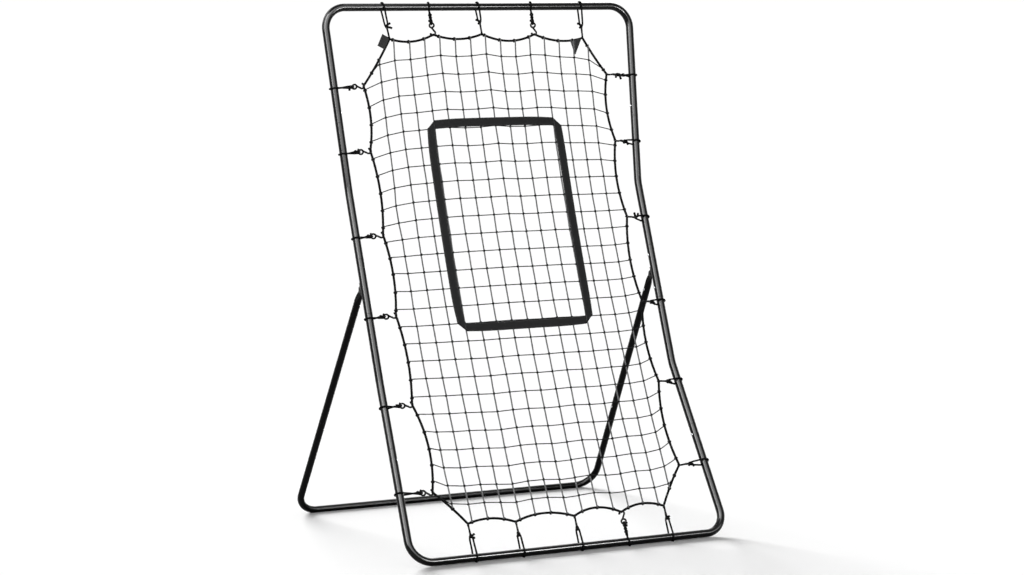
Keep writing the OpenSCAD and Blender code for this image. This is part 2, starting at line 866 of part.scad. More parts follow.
top_u_tube();
bottom_u_tube();
left() upper_side_tube_right();  // upper_side_tube_left
upper_side_tube_right();
left() lower_side_tube_right();  // lower_side_tube_left
lower_side_tube_right();
left() middle_tube_right();  // middle_tube_left
middle_tube_right();
left() pivot_bracket_right();  // pivot_bracket_left
pivot_bracket_right();
left() pivot_rivet_right();  // pivot_rivet_left
pivot_rivet_right();
left() hinge_stub_right();  // hinge_stub_left
hinge_stub_right();
left() leg_tube_right();  // leg_tube_left
leg_tube_right();
rear_u_tube();
left() button(top_joint);  // button_top_left
button(top_joint);  // button_top_right
left() button(upper_joint);  // button_upper_left
button(upper_joint);  // button_upper_right
left() button(lower_joint);  // button_lower_left
button(lower_joint);  // button_lower_right
left() button(bottom_joint);  // button_bottom_left
button(bottom_joint);  // button_bottom_right
left() button(stub_joint);  // button_stub_left
button(stub_joint);  // button_stub_right
left() button(rear_joint);  // button_rear_left
button(rear_joint);  // button_rear_right
clip_springs(frame_joints);  // frame_clip_springs
clip_springs(stand_joints);  // stand_clip_springs
net_mesh();
edge_rope();
target_strap();
corner_tab_left();
corner_tab_right();
tie_cords(top_ties);  // tie_cords_top
tie_cords_bottom();
tie_cords(left_ties);  // tie_cords_left
tie_cords(right_ties);  // tie_cords_right
tie_hooks(top_ties);  // tie_hooks_top
tie_hooks(bottom_ties);  // tie_hooks_bottom
tie_hooks(left_ties);  // tie_hooks_left
tie_hooks(right_ties);  // tie_hooks_right
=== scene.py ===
"""Looks of the pitch back rebounder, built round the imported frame.

Lengths are in millimetres until a mesh is made, and in metres in materials, camera, floor and lights.
A net place is (x, s): x across from the middle, and s up the profile of the frame's sides.
"""

import json
import math

import bpy
import numpy as np
from mathutils import Matrix, Vector


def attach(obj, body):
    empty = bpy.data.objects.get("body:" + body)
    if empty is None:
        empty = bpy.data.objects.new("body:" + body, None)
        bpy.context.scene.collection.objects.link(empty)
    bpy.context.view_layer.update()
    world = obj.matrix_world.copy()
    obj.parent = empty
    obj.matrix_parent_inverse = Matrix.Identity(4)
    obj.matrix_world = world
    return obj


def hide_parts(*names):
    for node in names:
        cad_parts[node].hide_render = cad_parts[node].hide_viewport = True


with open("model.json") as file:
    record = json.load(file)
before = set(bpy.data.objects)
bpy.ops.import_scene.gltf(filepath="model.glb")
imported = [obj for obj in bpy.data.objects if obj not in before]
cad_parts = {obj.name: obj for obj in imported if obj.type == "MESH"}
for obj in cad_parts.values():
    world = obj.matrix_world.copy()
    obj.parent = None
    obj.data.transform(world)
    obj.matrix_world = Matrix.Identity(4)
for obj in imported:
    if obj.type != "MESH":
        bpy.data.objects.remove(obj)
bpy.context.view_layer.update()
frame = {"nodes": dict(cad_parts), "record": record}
rng = np.random.default_rng(7)

MM = 0.001
TAU = 2 * math.pi

# ---- Vectors ----


def vec(*values):
    return np.array(values, float)


def unit(v):
    v = np.asarray(v, float)
    return v / np.linalg.norm(v, axis=-1, keepdims=True)


def toward(a, b, distance):
    """The place at that distance from a on the way to b."""
    return a + distance * unit(b - a)


def rise(lean):
    """The way up a part of the frame that leans back at that angle from the floor."""
    return vec(0, math.cos(math.radians(lean)), math.sin(math.radians(lean)))


def behind(lean):
    """The way out at the back of such a part, square to its rise."""
    return vec(0, math.sin(math.radians(lean)), -math.cos(math.radians(lean)))


def across(v, axis):
    """What is left of a vector square to an axis, made one long."""
    return unit(v - np.dot(v, axis) * axis)


# ---- The part's own sizes and stations, as its source has them ----

FRAME_W, TUBE_R, STAND_R = 1000, 11, 10
SIDE_DRAW, SIDE_HALF, U_LEG, MIDDLE_LEN = 27.5, 196, 330, 160
LEANS = (58.9, 67.6, 77.4)  # Degrees from the floor: the lower, middle and upper part of the sides
STAND_W, STAND_REACH, STUB_LEN, STAND_U_LEG, PIVOT_OFFSET = 1009, 812, 88, 341, 23
ELASTIC_R, CORD_R, ROPE_R = 1.75, 1.0, 2.2
LOOP_GAP, LOOP_PRESSED = 0.1, 0.5  # Round the tube, and by the ground under the front bar
WRAP = LOOP_GAP + 2 * ELASTIC_R
NET_HALF_W = 390
HOLLOW, HOLLOW_AT_EDGE = 49, 15
CORNER_X = FRAME_W / 2 - TUBE_R
FRONT_Y = -(STAND_REACH + STAND_R - TUBE_R - WRAP) / 2
BAR_Z = TUBE_R + WRAP - LOOP_PRESSED
REACH = U_LEG + SIDE_HALF
REACH_YZ = math.sqrt(REACH**2 - SIDE_DRAW**2)
PROFILE_LEN = 2 * REACH + 2 * SIDE_HALF + MIDDLE_LEN
FOOT = vec(CORNER_X, FRONT_Y, BAR_Z)
KNEE_LOW = vec(CORNER_X - SIDE_DRAW, FRONT_Y, BAR_Z) + REACH_YZ * rise(LEANS[0])
KNEE_HIGH = KNEE_LOW + (2 * SIDE_HALF + MIDDLE_LEN) * rise(LEANS[1])
HEAD = vec(CORNER_X, KNEE_HIGH[1], KNEE_HIGH[2]) + REACH_YZ * rise(LEANS[2])
MIDDLE = (KNEE_LOW + KNEE_HIGH) / 2
PIVOT = MIDDLE + PIVOT_OFFSET * behind(LEANS[1])
HEEL = vec(STAND_W / 2 - STAND_R, FRONT_Y + STAND_REACH, STAND_R)
CHORD = vec(0, HEAD[1] - FOOT[1], HEAD[2] - FOOT[2])
CHORD_UP = unit(CHORD)
CHORD_BACK = vec(0, CHORD_UP[2], -CHORD_UP[1])

# Cords and wire are drawn fuller than in the part, as thin dark lines are fuller in the photograph
CORD_UP_R, CORD_ACROSS_R, ROPE_FULL_R = 2.1, 1.5, 3.4
ELASTIC_FULL_R, WIRE_FULL_R = 2.6, 2.7

# The rope's even height at the top and the bottom
ROPE_TOP = PROFILE_LEN - 87
ROPE_BOTTOM = 92

# The rope's corners, where its ties hold it, and how far it sags between them
CORNERS_BOTTOM = [(-300, 97), (-157, 89), (24, 89), (172, 87), (310, 93)]
CORNERS_RIGHT = [(393, 209), (390, 464), (390, 708), (390, 967), (390, 1199), (390, 1400)]
CORNERS_TOP = [(-295, 1512), (-158, 1523), (-4, 1523), (165, 1521), (323, 1509)]
CORNERS_LEFT = [(-383, 195), (-390, 450), (-390, 710), (-390, 945), (-393, 1190), (-390, 1378)]
SAGS_BOTTOM, SAGS_TOP = [13, 17, 19, 16], [14, 14, 20, 14]
SAGS_RIGHT, SAGS_LEFT = [16, 15, 15, 15, 15], [20, 12, 12, 12, 12]
SAG_CORNER = 5
ROPE_STEPS = 24


def net(x, s, forward=0.0):
    """The place on the net's hollow surface at x across and s up the profile, moved forward off it."""
    x, s, forward = np.broadcast_arrays(
        np.asarray(x, float), np.asarray(s, float), np.asarray(forward, float)
    )
    share = s / PROFILE_LEN
    hollow = HOLLOW + HOLLOW_AT_EDGE * (x / NET_HALF_W) ** 2
    back = 4 * share * (1 - share) * hollow - forward
    base = np.zeros(x.shape + (3,)) + vec(0, FOOT[1], FOOT[2])
    base[..., 0] = x
    return base + share[..., None] * CHORD + back[..., None] * CHORD_BACK


# ---- Mesh building ----


def frames(line, closed=False):
    """The way along a line and two normals at each point, turned as little as can be."""
    if closed:
        ahead = np.roll(line, -1, 0) - np.roll(line, 1, 0)
    else:
        ahead = np.gradient(line, axis=0)
    way = unit(ahead)
    start = vec(0, 0, 1) if abs(way[0][2]) < 0.9 else vec(1, 0, 0)
    first = across(start, way[0])
    normals = [first]
    for a, b in zip(way[:-1], way[1:]):
        turned, axis, dot = normals[-1], np.cross(a, b), float(np.dot(a, b))
        turned = turned * dot + np.cross(axis, turned) + axis * np.dot(axis, turned) / (1 + dot + 1e-9)
        turned = turned - np.dot(turned, b) * b
        normals.append(turned / np.linalg.norm(turned))
    normals = np.array(normals)
    return way, normals, np.cross(way, normals)


def spline(points, steps):
    """A smooth line through points, with steps places for each span."""
    points = np.asarray(points, float)
    padded = np.vstack([2 * points[0] - points[1], points, 2 * points[-1] - points[-2]])
    t = np.linspace(0, 1, steps, endpoint=False)[:, None]
    out = []
    for i in range(len(points) - 1):
        a, b, c, d = padded[i : i + 4]
        square, cube = 2 * a - 5 * b + 4 * c - d, 3 * b - a - 3 * c + d
        out.append(0.5 * (2 * b + (c - a) * t + square * t**2 + cube * t**3))
    out.append(points[-1:])
    return np.vstack(out)


TIP = 0.3  # How high the cones at a tube's ends are, in its radii


class Shape:
    """Faces gathered into one mesh, with a UV of turns round and metres along."""

    def __init__(self):
        self.points, self.corners, self.totals, self.uvs, self.count = [], [], [], [], 0

    def faces(self, points, faces, uvs):
        """Adds points and faces of one size, with a UV for each face's corner."""
        self.points.append(points)
        self.more(faces, uvs, 0)
        self.count += len(points)

    def more(self, faces, uvs, back):
        """Adds faces between points that are there already, counted from back points ago."""
        faces = np.asarray(faces)
        self.corners.append((faces + self.count - back).ravel())
        self.totals.append(np.full(len(faces), faces.shape[1]))
        self.uvs.append(np.asarray(uvs, float).reshape(-1, 2))

    def tube(self, line, radius, sides=8, closed=False):
        """Sweeps a round section along a line; the radius is one number or one for each place."""
        line = np.asarray(line, float)
        n = len(line)
        way, e1, e2 = frames(line, closed)
        turn = TAU * np.arange(sides) / sides
        outline = np.stack([np.cos(turn), np.sin(turn)], 1)
        scale = np.broadcast_to(np.asarray(radius, float), (n,))
        rings = line[:, None] + scale[:, None, None] * (
            outline[None, :, :1] * e1[:, None] + outline[None, :, 1:] * e2[:, None]
        )
        length = np.concatenate([[0], np.cumsum(np.linalg.norm(np.diff(line, axis=0), axis=1))])
        if closed:
            length = np.append(length, length[-1] + np.linalg.norm(line[0] - line[-1]))
        length = length * MM
        spans = n if closed else n - 1
        i, k = np.meshgrid(np.arange(spans), np.arange(sides), indexing="ij")
        i, k = i.ravel(), k.ravel()
        j, m = (i + 1) % n, (k + 1) % sides
        quads = np.stack([i * sides + k, i * sides + m, j * sides + m, j * sides + k], 1)
        u0, u1, v0, v1 = k / sides, (k + 1) / sides, length[i], length[i + 1]
        uvs = np.stack([u0, v0, u1, v0, u1, v1, u0, v1], 1)
        self.faces(rings.reshape(-1, 3), quads, uvs)
        if not closed:
            self.cap(line[0] - TIP * scale[0] * way[0], sides, n * sides, 0, length[0])
            self.cap(line[-1] + TIP * scale[-1] * way[-1], sides, sides + 1, 1, length[-1])

    def cap(self, tip, sides, back, last, v):
        """Closes the end of a tube whose ring starts back points ago with a low cone."""
        self.points.append(np.asarray(tip)[None])
        self.count += 1
        k = np.arange(sides)
        m = (k + 1) % sides
        centre = np.full(sides, back)
        fan = [centre, k, m] if last else [centre, m, k]
        uvs = np.stack([k / sides, k * 0 + v] * 3, 1)
        self.more(np.stack(fan, 1), uvs, back + 1)

    def grid(self, points, uvs, closed=False):
        """Adds a grid of points (rows, columns), joined round its columns if closed."""
        rows, columns = points.shape[:2]
        i, k = np.meshgrid(
            np.arange(rows - 1), np.arange(columns if closed else columns - 1), indexing="ij"
        )
        i, k = i.ravel(), k.ravel()
        m = (k + 1) % columns
        j = i + 1
        quads = np.stack([i * columns + k, i * columns + m, j * columns + m, j * columns + k], 1)
        self.faces(points.reshape(-1, 3), quads, uvs.reshape(-1, 2)[quads.ravel()])

    def build(self, name, material, slot, replaces=(), body="frame"):
        """Makes the mesh in metres, and has it ride on its body."""
        points = np.concatenate(self.points) * MM
        corners = np.concatenate(self.corners)
        totals = np.concatenate(self.totals)
        mesh = bpy.data.meshes.new(name)
        mesh.vertices.add(len(points))
        mesh.vertices.foreach_set("co", points.astype(np.float32).ravel())
        mesh.loops.add(len(corners))
        mesh.loops.foreach_set("vertex_index", corners.astype(np.int32))
        mesh.polygons.add(len(totals))
        starts = np.concatenate([[0], np.cumsum(totals)[:-1]])
        mesh.polygons.foreach_set("loop_start", starts.astype(np.int32))
        mesh.polygons.foreach_set("use_smooth", np.ones(len(totals), bool))
        layer = mesh.uv_layers.new(name="UVMap")
        layer.data.foreach_set("uv", np.concatenate(self.uvs).astype(np.float32).ravel())
        mesh.update(calc_edges=True)
        mesh.validate()
        mesh.materials.append(material)
        piece = bpy.data.objects.new(name, mesh)
        bpy.context.scene.collection.objects.link(piece)
        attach(piece, body)
        if replaces:
            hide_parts(*replaces)
        return piece


# ---- Materials ----


class Look:
    """A procedural material: short calls that add nodes and give back their output."""

    def __init__(self, name, color, rough, **constants):
        self.material = bpy.data.materials.new(name)
        self.material.use_nodes = True
        self.tree = self.material.node_tree
        self.shader = self.tree.nodes["Principled BSDF"]
        self.set(Base_Color=(*color, 1), Roughness=rough, **constants)

    def set(self, **sockets):
        """Puts values or outputs on the shader's own sockets."""
        for name, value in sockets.items():
            self.put(self.shader.inputs[name.replace("_", " ")], value)

    def put(self, socket, value):
        if isinstance(value, bpy.types.NodeSocket):
            self.tree.links.new(value, socket)
        else:
            socket.default_value = value

    def node(self, kind, inputs=(), output=0, **settings):
        """Adds a node with its inputs and settings, and gives back one output."""
        node = self.tree.nodes.new("ShaderNode" + kind)
        for name, value in settings.items():
            setattr(node, name, value)
        for name, value in dict(inputs).items():
            self.put(node.inputs[name], value)
        return node.outputs[output]

    def math(self, operation, a, b=0.0):
        return self.node("Math", {0: a, 1: b}, operation=operation)

    def around(self):
        """Turns round a cord, or the share across a band, and metres along it, from the UV map."""
        uv = self.node("TexCoord", output="UV")
        split = self.node("SeparateXYZ", {0: uv})
        return split, split.node.outputs["Y"]

    def noise(self, scale, detail=3.0, rough=0.55):
        """Noise fixed to the piece, with scale in waves per metre."""
        place = self.node("TexCoord", output="Object")
        return self.node(
            "TexNoise", {"Vector": place, "Scale": scale, "Detail": detail, "Roughness": rough}
        )

    def fit(self, value, low, high, start=0.0, end=1.0):
        """The value's range from start to end, mapped on low to high."""
        return self.node(
            "MapRange",
            {"Value": value, "From Min": start, "From Max": end, "To Min": low, "To Max": high},
        )

    def mix(self, share, a, b):
        """Colour a where the share is 0 and colour b where it is 1."""
        node = self.tree.nodes.new("ShaderNodeMix")
        node.data_type = "RGBA"
        self.put(node.inputs["Factor"], share)
        rgba = [s for s in node.inputs if s.type == "RGBA"]
        for socket, color in zip(rgba, (a, b)):
            self.put(socket, color if isinstance(color, bpy.types.NodeSocket) else (*color, 1))
        return [s for s in node.outputs if s.type == "RGBA"][0]

    def bump(self, height, distance, normal=None):
        """Bumps of that height in metres, over an earlier set of bumps where one is given."""
        inputs = {"Height": height, "Distance": distance, "Strength": 1.0}
        if normal:
            inputs["Normal"] = normal
        self.set(Normal=self.node("Bump", inputs))
        return self.shader.inputs["Normal"].links[0].from_socket

    def strands(self, lobes, pitch):
        """Twisted strands along a cord: 0 in the grooves and 1 on the strands."""
        turns, along = self.around()
        phase = self.math("ADD", self.math("MULTIPLY", turns, lobes), self.math("DIVIDE", along, pitch))
        wave = self.math("SINE", self.math("MULTIPLY", phase, TAU))
        return self.fit(wave, 0, 1, -1, 1)


def paint(name, color, rough_low, rough_high, ior):
    """Gloss powder coat: slight orange peel, uneven gloss and a little dust."""
    look = Look(name, color, 0.2, IOR=ior)
    cloud = look.noise(9, 2)
    look.set(Roughness=look.fit(cloud, rough_low, rough_high, 0.3, 0.7))
    dust = look.fit(look.noise(1400, 2, 0.7), 0, 1, 0.66, 0.75)
    pale = tuple(min(1, 3.2 * c + 0.01) for c in color)
    look.set(Base_Color=look.mix(look.math("MULTIPLY", dust, 0.5), color, pale))
    peel = look.bump(look.noise(420, 2, 0.5), 0.00006)
    look.bump(look.noise(1700, 2, 0.6), 0.00002, normal=peel)
    return look.material


def steel(name, color):
    """Zinc-plated steel: fine brushing and cloudy gloss."""
    look = Look(name, color, 0.3, Metallic=1.0)
    cloud = look.noise(260, 3)
    look.set(Roughness=look.fit(cloud, 0.2, 0.42, 0.3, 0.7))
    dark = tuple(0.72 * c for c in color)
    look.set(Base_Color=look.mix(look.fit(look.noise(900, 4), 0, 1, 0.4, 0.62), color, dark))
    look.bump(look.noise(2600, 2), 0.00002)
    return look.material


def cord_look(name, color, rough, lobes, pitch, depth, ior, crossed=False):
    """Twisted strands, or a braid where a second set crosses the first, with painted shade in the grooves between
    the strands.
    """
    look = Look(name, color, rough, IOR=ior)
    height = look.strands(lobes, pitch)
    if crossed:
        height = look.math("MULTIPLY", height, look.strands(-lobes, pitch))
        height = look.math("POWER", height, 0.5)
    fuzz = look.noise(2400, 3, 0.7)
    # Painted shade: the colour goes darker in the grooves between strands; the fuzz varies the tone at random.
    dark = tuple(0.45 * c for c in color)
    shade = look.math("MULTIPLY", look.fit(height, 0.25, 1), look.fit(fuzz, 0.75, 1.15, 0.3, 0.7))
    look.set(Base_Color=look.mix(shade, dark, color))
    first = look.bump(height, depth)
    look.bump(fuzz, depth * 0.4, normal=first)
    return look.material


FRAME_PAINT = paint("frame_paint", (0.003, 0.003, 0.0033), 0.1, 0.14, 1.22)
# The stand's coat is the frame's black coat, painted a little darker and given a weaker gloss: painted shade for
# legs that face down, away from the light.
STAND_PAINT_SHADED = paint("stand_paint", (0.002, 0.002, 0.0022), 0.12, 0.18, 1.13)
BRIGHT = steel("bright_steel", (0.4, 0.405, 0.42))
# The upright cords are the same black cord as the rows, painted light grey: painted light for the sheen that they
# catch.
NET_UP_PAINTED_LIGHT = cord_look("net_cord_up_painted_light", (0.27, 0.27, 0.275), 0.7, 3, 0.007, 0.0002, 1.15)
NET_ACROSS = cord_look("net_cord_across", (0.01, 0.01, 0.0105), 0.7, 3, 0.007, 0.0002, 1.08)
ROPE = cord_look("edge_rope_braid", (0.005, 0.005, 0.0054), 0.7, 4, 0.011, 0.0003, 1.06, crossed=True)
ELASTIC = cord_look("elastic_braid", (0.004, 0.004, 0.0044), 0.65, 4, 0.006, 0.0002, 1.06, crossed=True)


def coated_wire():
    """Dipped wire: satin, with a slightly uneven skin."""
    look = Look("coated_wire", (0.004, 0.004, 0.0044), 0.32, IOR=1.09)
    look.set(Roughness=look.fit(look.noise(300, 2), 0.24, 0.42, 0.3, 0.7))
    look.bump(look.noise(900, 2), 0.00005)
    return look.material


RIBS, WEFT_PITCH = 11, 0.0016


def webbing(name, color, ior, pale=None):
    """Plain-woven webbing: ribs across the band with painted shade in their hollows, and a painted lighter side
    where one is given, as painted light.
    """
    look = Look(name, color, 0.75, IOR=ior)
    across_band, along = look.around()
    warp = look.math("SINE", look.math("MULTIPLY", across_band, TAU * RIBS))
    weft = look.math("SINE", look.math("MULTIPLY", along, TAU / WEFT_PITCH))
    weave = look.fit(look.math("MULTIPLY", warp, weft), 0, 1, -1, 1)
    fuzz = look.noise(1800, 3, 0.7)
    cloud = look.noise(60, 3)
    # Painted shade: the colour goes darker in the weave's hollows; the cloud varies the tone at random.
    dark = tuple(0.5 * c for c in color)
    shade = look.math("MULTIPLY", look.fit(weave, 0.35, 1), look.fit(cloud, 0.7, 1.2, 0.3, 0.7))
    # Painted light: the band is paler where across_band is below 0.3, fading out by 0.55, for the side of a fold
    # that catches the light.
    full = look.mix(look.fit(across_band, 1, 0, 0.3, 0.55), color, pale) if pale else color
    look.set(Base_Color=look.mix(shade, dark, full))
    first = look.bump(weave, 0.00022)
    look.bump(fuzz, 0.00012, normal=first)
    return look.material


WIRE = coated_wire()
WEBBING = webbing("webbing_weave", (0.0085, 0.0085, 0.009), 1.12)
TAB = webbing("tab_weave", (0.02, 0.02, 0.0207), 1.15)
# The right tab's weave, with one side painted paler as painted light on its fold.
TAB_PAINTED_LIGHT = webbing("tab_weave_painted_light", (0.008, 0.008, 0.0083), 1.15, (0.12, 0.12, 0.122))
THREAD = cord_look("thread", (0.012, 0.012, 0.0125), 0.6, 2, 0.0012, 0.00005, 1.3)

# ---- CAD nodes that keep their shape ----

STAND_NODES = frame["record"]["behaviour"]["bodies"]["stand"]
for node_name, node in frame["nodes"].items():
    bright = "button" in node_name or "spring" in node_name
    coat = BRIGHT if bright else STAND_PAINT_SHADED if node_name in STAND_NODES else FRAME_PAINT
    node.data.materials.clear()
    node.data.materials.append(coat)

# ---- Rolled lips at the joints, and weld beads at the pivot brackets ----

JOINT_GAP = Look("joint_gap", (0.001, 0.001, 0.001), 0.9, IOR=1.05).material
# How far in from the tube's end, how far under its skin and how thick
LIP_AT, LIP_UNDER, LIP_R = 1.5, 0.25, 0.55
GAP_AT, GAP_UNDER, GAP_R = 0.35, 0.28, 0.42


def ring(centre, way, radius):
    """A circle of places round a way, in the plane across it."""
    side = across(vec(1, 0, 0) if abs(way[0]) < 0.9 else vec(0, 0, 1), way)
    turn = TAU * np.arange(48)[:, None] / 48
    return centre + radius * (np.cos(turn) * side + np.sin(turn) * np.cross(way, side))


# Each joint's open tube end: its centre, and the way into that tube
FRAME_JOINTS = [
    (toward(HEAD, KNEE_HIGH, U_LEG), unit(HEAD - KNEE_HIGH)),
    (toward(KNEE_LOW, KNEE_HIGH, SIDE_HALF), unit(KNEE_HIGH - KNEE_LOW)),
    (toward(KNEE_HIGH, KNEE_LOW, SIDE_HALF), unit(KNEE_LOW - KNEE_HIGH)),
    (toward(FOOT, KNEE_LOW, U_LEG), unit(FOOT - KNEE_LOW)),
]
STAND_JOINTS = [
    (toward(PIVOT, HEEL, STUB_LEN), unit(PIVOT - HEEL)),
    (toward(HEEL, PIVOT, STAND_U_LEG), unit(HEEL - PIVOT)),
]


def joint_rings(body, joints, radius, coat):
    """A rolled lip and the thin gap before it at each open tube end, left and right."""
    lips, gaps = Shape(), Shape()
    for centre, into in joints:
        for side in (-1, 1):
            flip = vec(side, 1, 1)
            lips.tube(ring(centre + LIP_AT * into, into, radius - LIP_UNDER) * flip, LIP_R, 6, closed=True)
            gaps.tube(ring(centre + GAP_AT * into, into, radius - GAP_UNDER) * flip, GAP_R, 6, closed=True)
    lips.build(f"{body}_joint_lips", coat, f"{body}_paint", body=body)
    gaps.build(f"{body}_joint_gaps", JOINT_GAP, f"{body}_paint", body=body)


joint_rings("frame", FRAME_JOINTS, TUBE_R, FRAME_PAINT)
joint_rings("stand", STAND_JOINTS, STAND_R, STAND_PAINT_SHADED)

SADDLE_LEN, SADDLE_TURN, EAR_FACE, EAR_FOOT, EAR_FOOT_HALF = 28, 50, 4.4, 11.8, 9
ROUND_BEAD_AT, SIDE_BEAD_AT, BEAD_R, EAR_BEAD_R = 12.1, 11.9, 1.0, 0.9


def weld_beads():
    """Rippled beads round each saddle and at the feet of its two ears."""
    turns = np.radians(np.linspace(-SADDLE_TURN, SADDLE_TURN, 41))
    up = np.linspace(-SADDLE_LEN / 2, SADDLE_LEN / 2, 41)
    foot_up = np.linspace(-EAR_FOOT_HALF, EAR_FOOT_HALF, 31)
    side_x, side_y = SIDE_BEAD_AT * math.sin(turns[-1]), SIDE_BEAD_AT * math.cos(turns[-1])
    lines = []
    for end in (-1, 1):
        round_x, round_y = ROUND_BEAD_AT * np.sin(turns), ROUND_BEAD_AT * np.cos(turns)
        lines.append((round_x, round_y, 0 * turns + end * (SADDLE_LEN / 2 + 0.2), BEAD_R))
        lines.append((end * side_x + 0 * up, side_y + 0 * up, up, BEAD_R))
        lines.append((end * (EAR_FACE + 0.4) + 0 * foot_up, EAR_FOOT + 0.3 + 0 * foot_up, foot_up, EAR_BEAD_R))
    beads = Shape()
    for side in (-1, 1):
        for x, y, z, radius in lines:
            places = MIDDLE + x[:, None] * vec(1, 0, 0) + y[:, None] * behind(LEANS[1])
            line = spline(places + z[:, None] * rise(LEANS[1]), 4)
            ripple = radius * (1 + 0.13 * np.sin(2.2 * np.arange(len(line))))
            beads.tube(line * vec(side, 1, 1), ripple, 8)
    beads.build("pivot_bracket_welds", FRAME_PAINT, "frame_paint")


weld_beads()

# ---- The edge rope's line, in net places ----


def span_line(a, b, pull):
    """Places from a to b, drawn sideways by a parabola that is pull in its middle."""
    t = np.linspace(0, 1, ROPE_STEPS, endpoint=False)[:, None]
    return a + (b - a) * t + 4 * t * (1 - t) * pull


def rope_places():
    """The rope's line round the net as (x, s), with ROPE_STEPS places for each span."""
    corners = [vec(*c) for c in CORNERS_BOTTOM + CORNERS_RIGHT + CORNERS_TOP[::-1] + CORNERS_LEFT[::-1]]
    up, right = vec(0, 1), vec(1, 0)
    pulls = [sag * up for sag in SAGS_BOTTOM] + [SAG_CORNER * up]
    pulls += [-sag * right for sag in SAGS_RIGHT] + [-SAG_CORNER * up]
    pulls += [-sag * up for sag in SAGS_TOP[::-1]] + [-SAG_CORNER * up]
    pulls += [sag * right for sag in SAGS_LEFT[::-1]] + [SAG_CORNER * up]
    spans = zip(corners, corners[1:] + corners[:1], pulls)
    return np.vstack([span_line(a, b, pull) for a, b, pull in spans])


ROPE_XS = rope_places()


def rope_part(first, last):
    """The rope's places between two corners: 0-4 bottom, 5-10 right, 11-15 top and 16-21 left."""
    places = np.arange(first * ROPE_STEPS, last * ROPE_STEPS + 1) % len(ROPE_XS)
    return ROPE_XS[places]


TOP_PART, BOTTOM_PART = rope_part(10, 16)[::-1], rope_part(-1, 5)
RIGHT_PART, LEFT_PART = rope_part(4, 11), rope_part(15, 22)[::-1]


def edge_s(x, top):
    """The rope's height where it crosses x, at the top or the bottom."""
    part = TOP_PART if top else BOTTOM_PART
    return float(np.interp(x, part[:, 0], part[:, 1]))


def edge_x(s, right):
    """The rope's place across at height s, on the left or the right."""
    part = RIGHT_PART if right else LEFT_PART
    return float(np.interp(s, part[:, 1], part[:, 0]))


# ---- Net ----

COLUMN_PITCH, COLUMN_FIRST, COLUMNS = 48.5, -333.5, 15
ROW_PITCH, ROW_FIRST, ROWS = 52.4, 147, 26
ROW_END_X = NET_HALF_W - 6
COLUMN_X = [COLUMN_FIRST + COLUMN_PITCH * k for k in range(COLUMNS)]

# How the net is drawn out of square. The right-hand columns: heights, and how far left they are there
RIGHT_SHIFT = ([150, 200, 400, 600, 800, 1000, 1200, 1450], [2, 2, 5, 6, 10, 13, 13, 9])
# The rows near an edge: heights, how far the rows are up there, and how far from the edge that fades
LEFT_PULLS = [
    ([150, 231, 300, 450, 600, 740], [15, 17, 18, 19, 14, 0], 90),
    ([150, 231, 300, 450, 600, 740], [18, 9, -3, -13, -10, 0], 30),
    ([840, 1000, 1460, 1520], [0, -24, -47, -52], 62),
]
RIGHT_PULLS = [
    ([150, 200, 400, 600, 700, 850, 1000, 1100], [38, 37, 29, 20, 14, 8, 4, 0], 35),
    ([1100, 1142, 1195, 1247, 1300, 1352, 1405, 1457], [0, -6, -12, -18, -20, -16, -26, -50], 45),
]
# The rope's waves go on into the rows: their share, how far they reach and where they end at the sides
WAVE_SHARE, WAVE_FADE, WAVE_HALF_W, MEAN_SAG = 0.6, 330, 330, 9
# Small places where cords leave the even net: how far, then the middle and width of each place
COLUMNS_LEFT, MIDDLE_BOW = 1.2, (2, -60, 150)
FIRST_COLUMN_END, FIRST_COLUMN_KINK = -300, (5, 1010, 60)
ROW_DIP, ROW_DIP_X, ROW_DIP_S = 2.5, (-75, 70), (1210, 60)
# Nearer the rope than this, across and up, no knot is tied
CLEAR_X, CLEAR_S = 10, 12


def hump(value, middle, width):
    """1 at the middle, and less away from it."""
    return math.exp(-(((value - middle) / width) ** 2))


def pulled(s, to_edge, pulls):
    """How far an edge's pulls take a row up at height s and that far from the edge."""
    return sum(
        float(np.interp(s, heights, lifts)) * math.exp(-to_edge / fade) for heights, lifts, fade in pulls
    )


def column_x(x, s):
    """A column's place across at height s: the right-hand ones are drawn to the left."""
    bow, *bow_place = MIDDLE_BOW
    x = x - COLUMNS_LEFT - bow * hump(x, *bow_place)
    if x > 0:
        return x - float(np.interp(s, *RIGHT_SHIFT)) * (x / COLUMN_X[-1]) ** 0.6
    if x < FIRST_COLUMN_END:
        kink, *kink_place = FIRST_COLUMN_KINK
        return x - kink * hump(s, *kink_place)
    return x


def row_s(j, x):
    """The height of a row at x: the rope's waves fade into the net, and the ends are drawn in."""
    s = ROW_FIRST + ROW_PITCH * j
    top_wave = edge_s(x, True) - (ROPE_TOP - MEAN_SAG)
    low_wave = edge_s(x, False) - (ROPE_BOTTOM + MEAN_SAG)
    share = WAVE_SHARE * max(0.0, 1 - (abs(x) / WAVE_HALF_W) ** 6)
    at = s + share * top_wave * math.exp(-(ROPE_TOP - s) / WAVE_FADE)
    at += share * low_wave * math.exp(-(s - ROPE_BOTTOM) / WAVE_FADE)
    at += pulled(s, NET_HALF_W + x, LEFT_PULLS) + pulled(s, NET_HALF_W - x, RIGHT_PULLS)
    return at - ROW_DIP * hump(x, *ROW_DIP_X) * hump(s, *ROW_DIP_S)


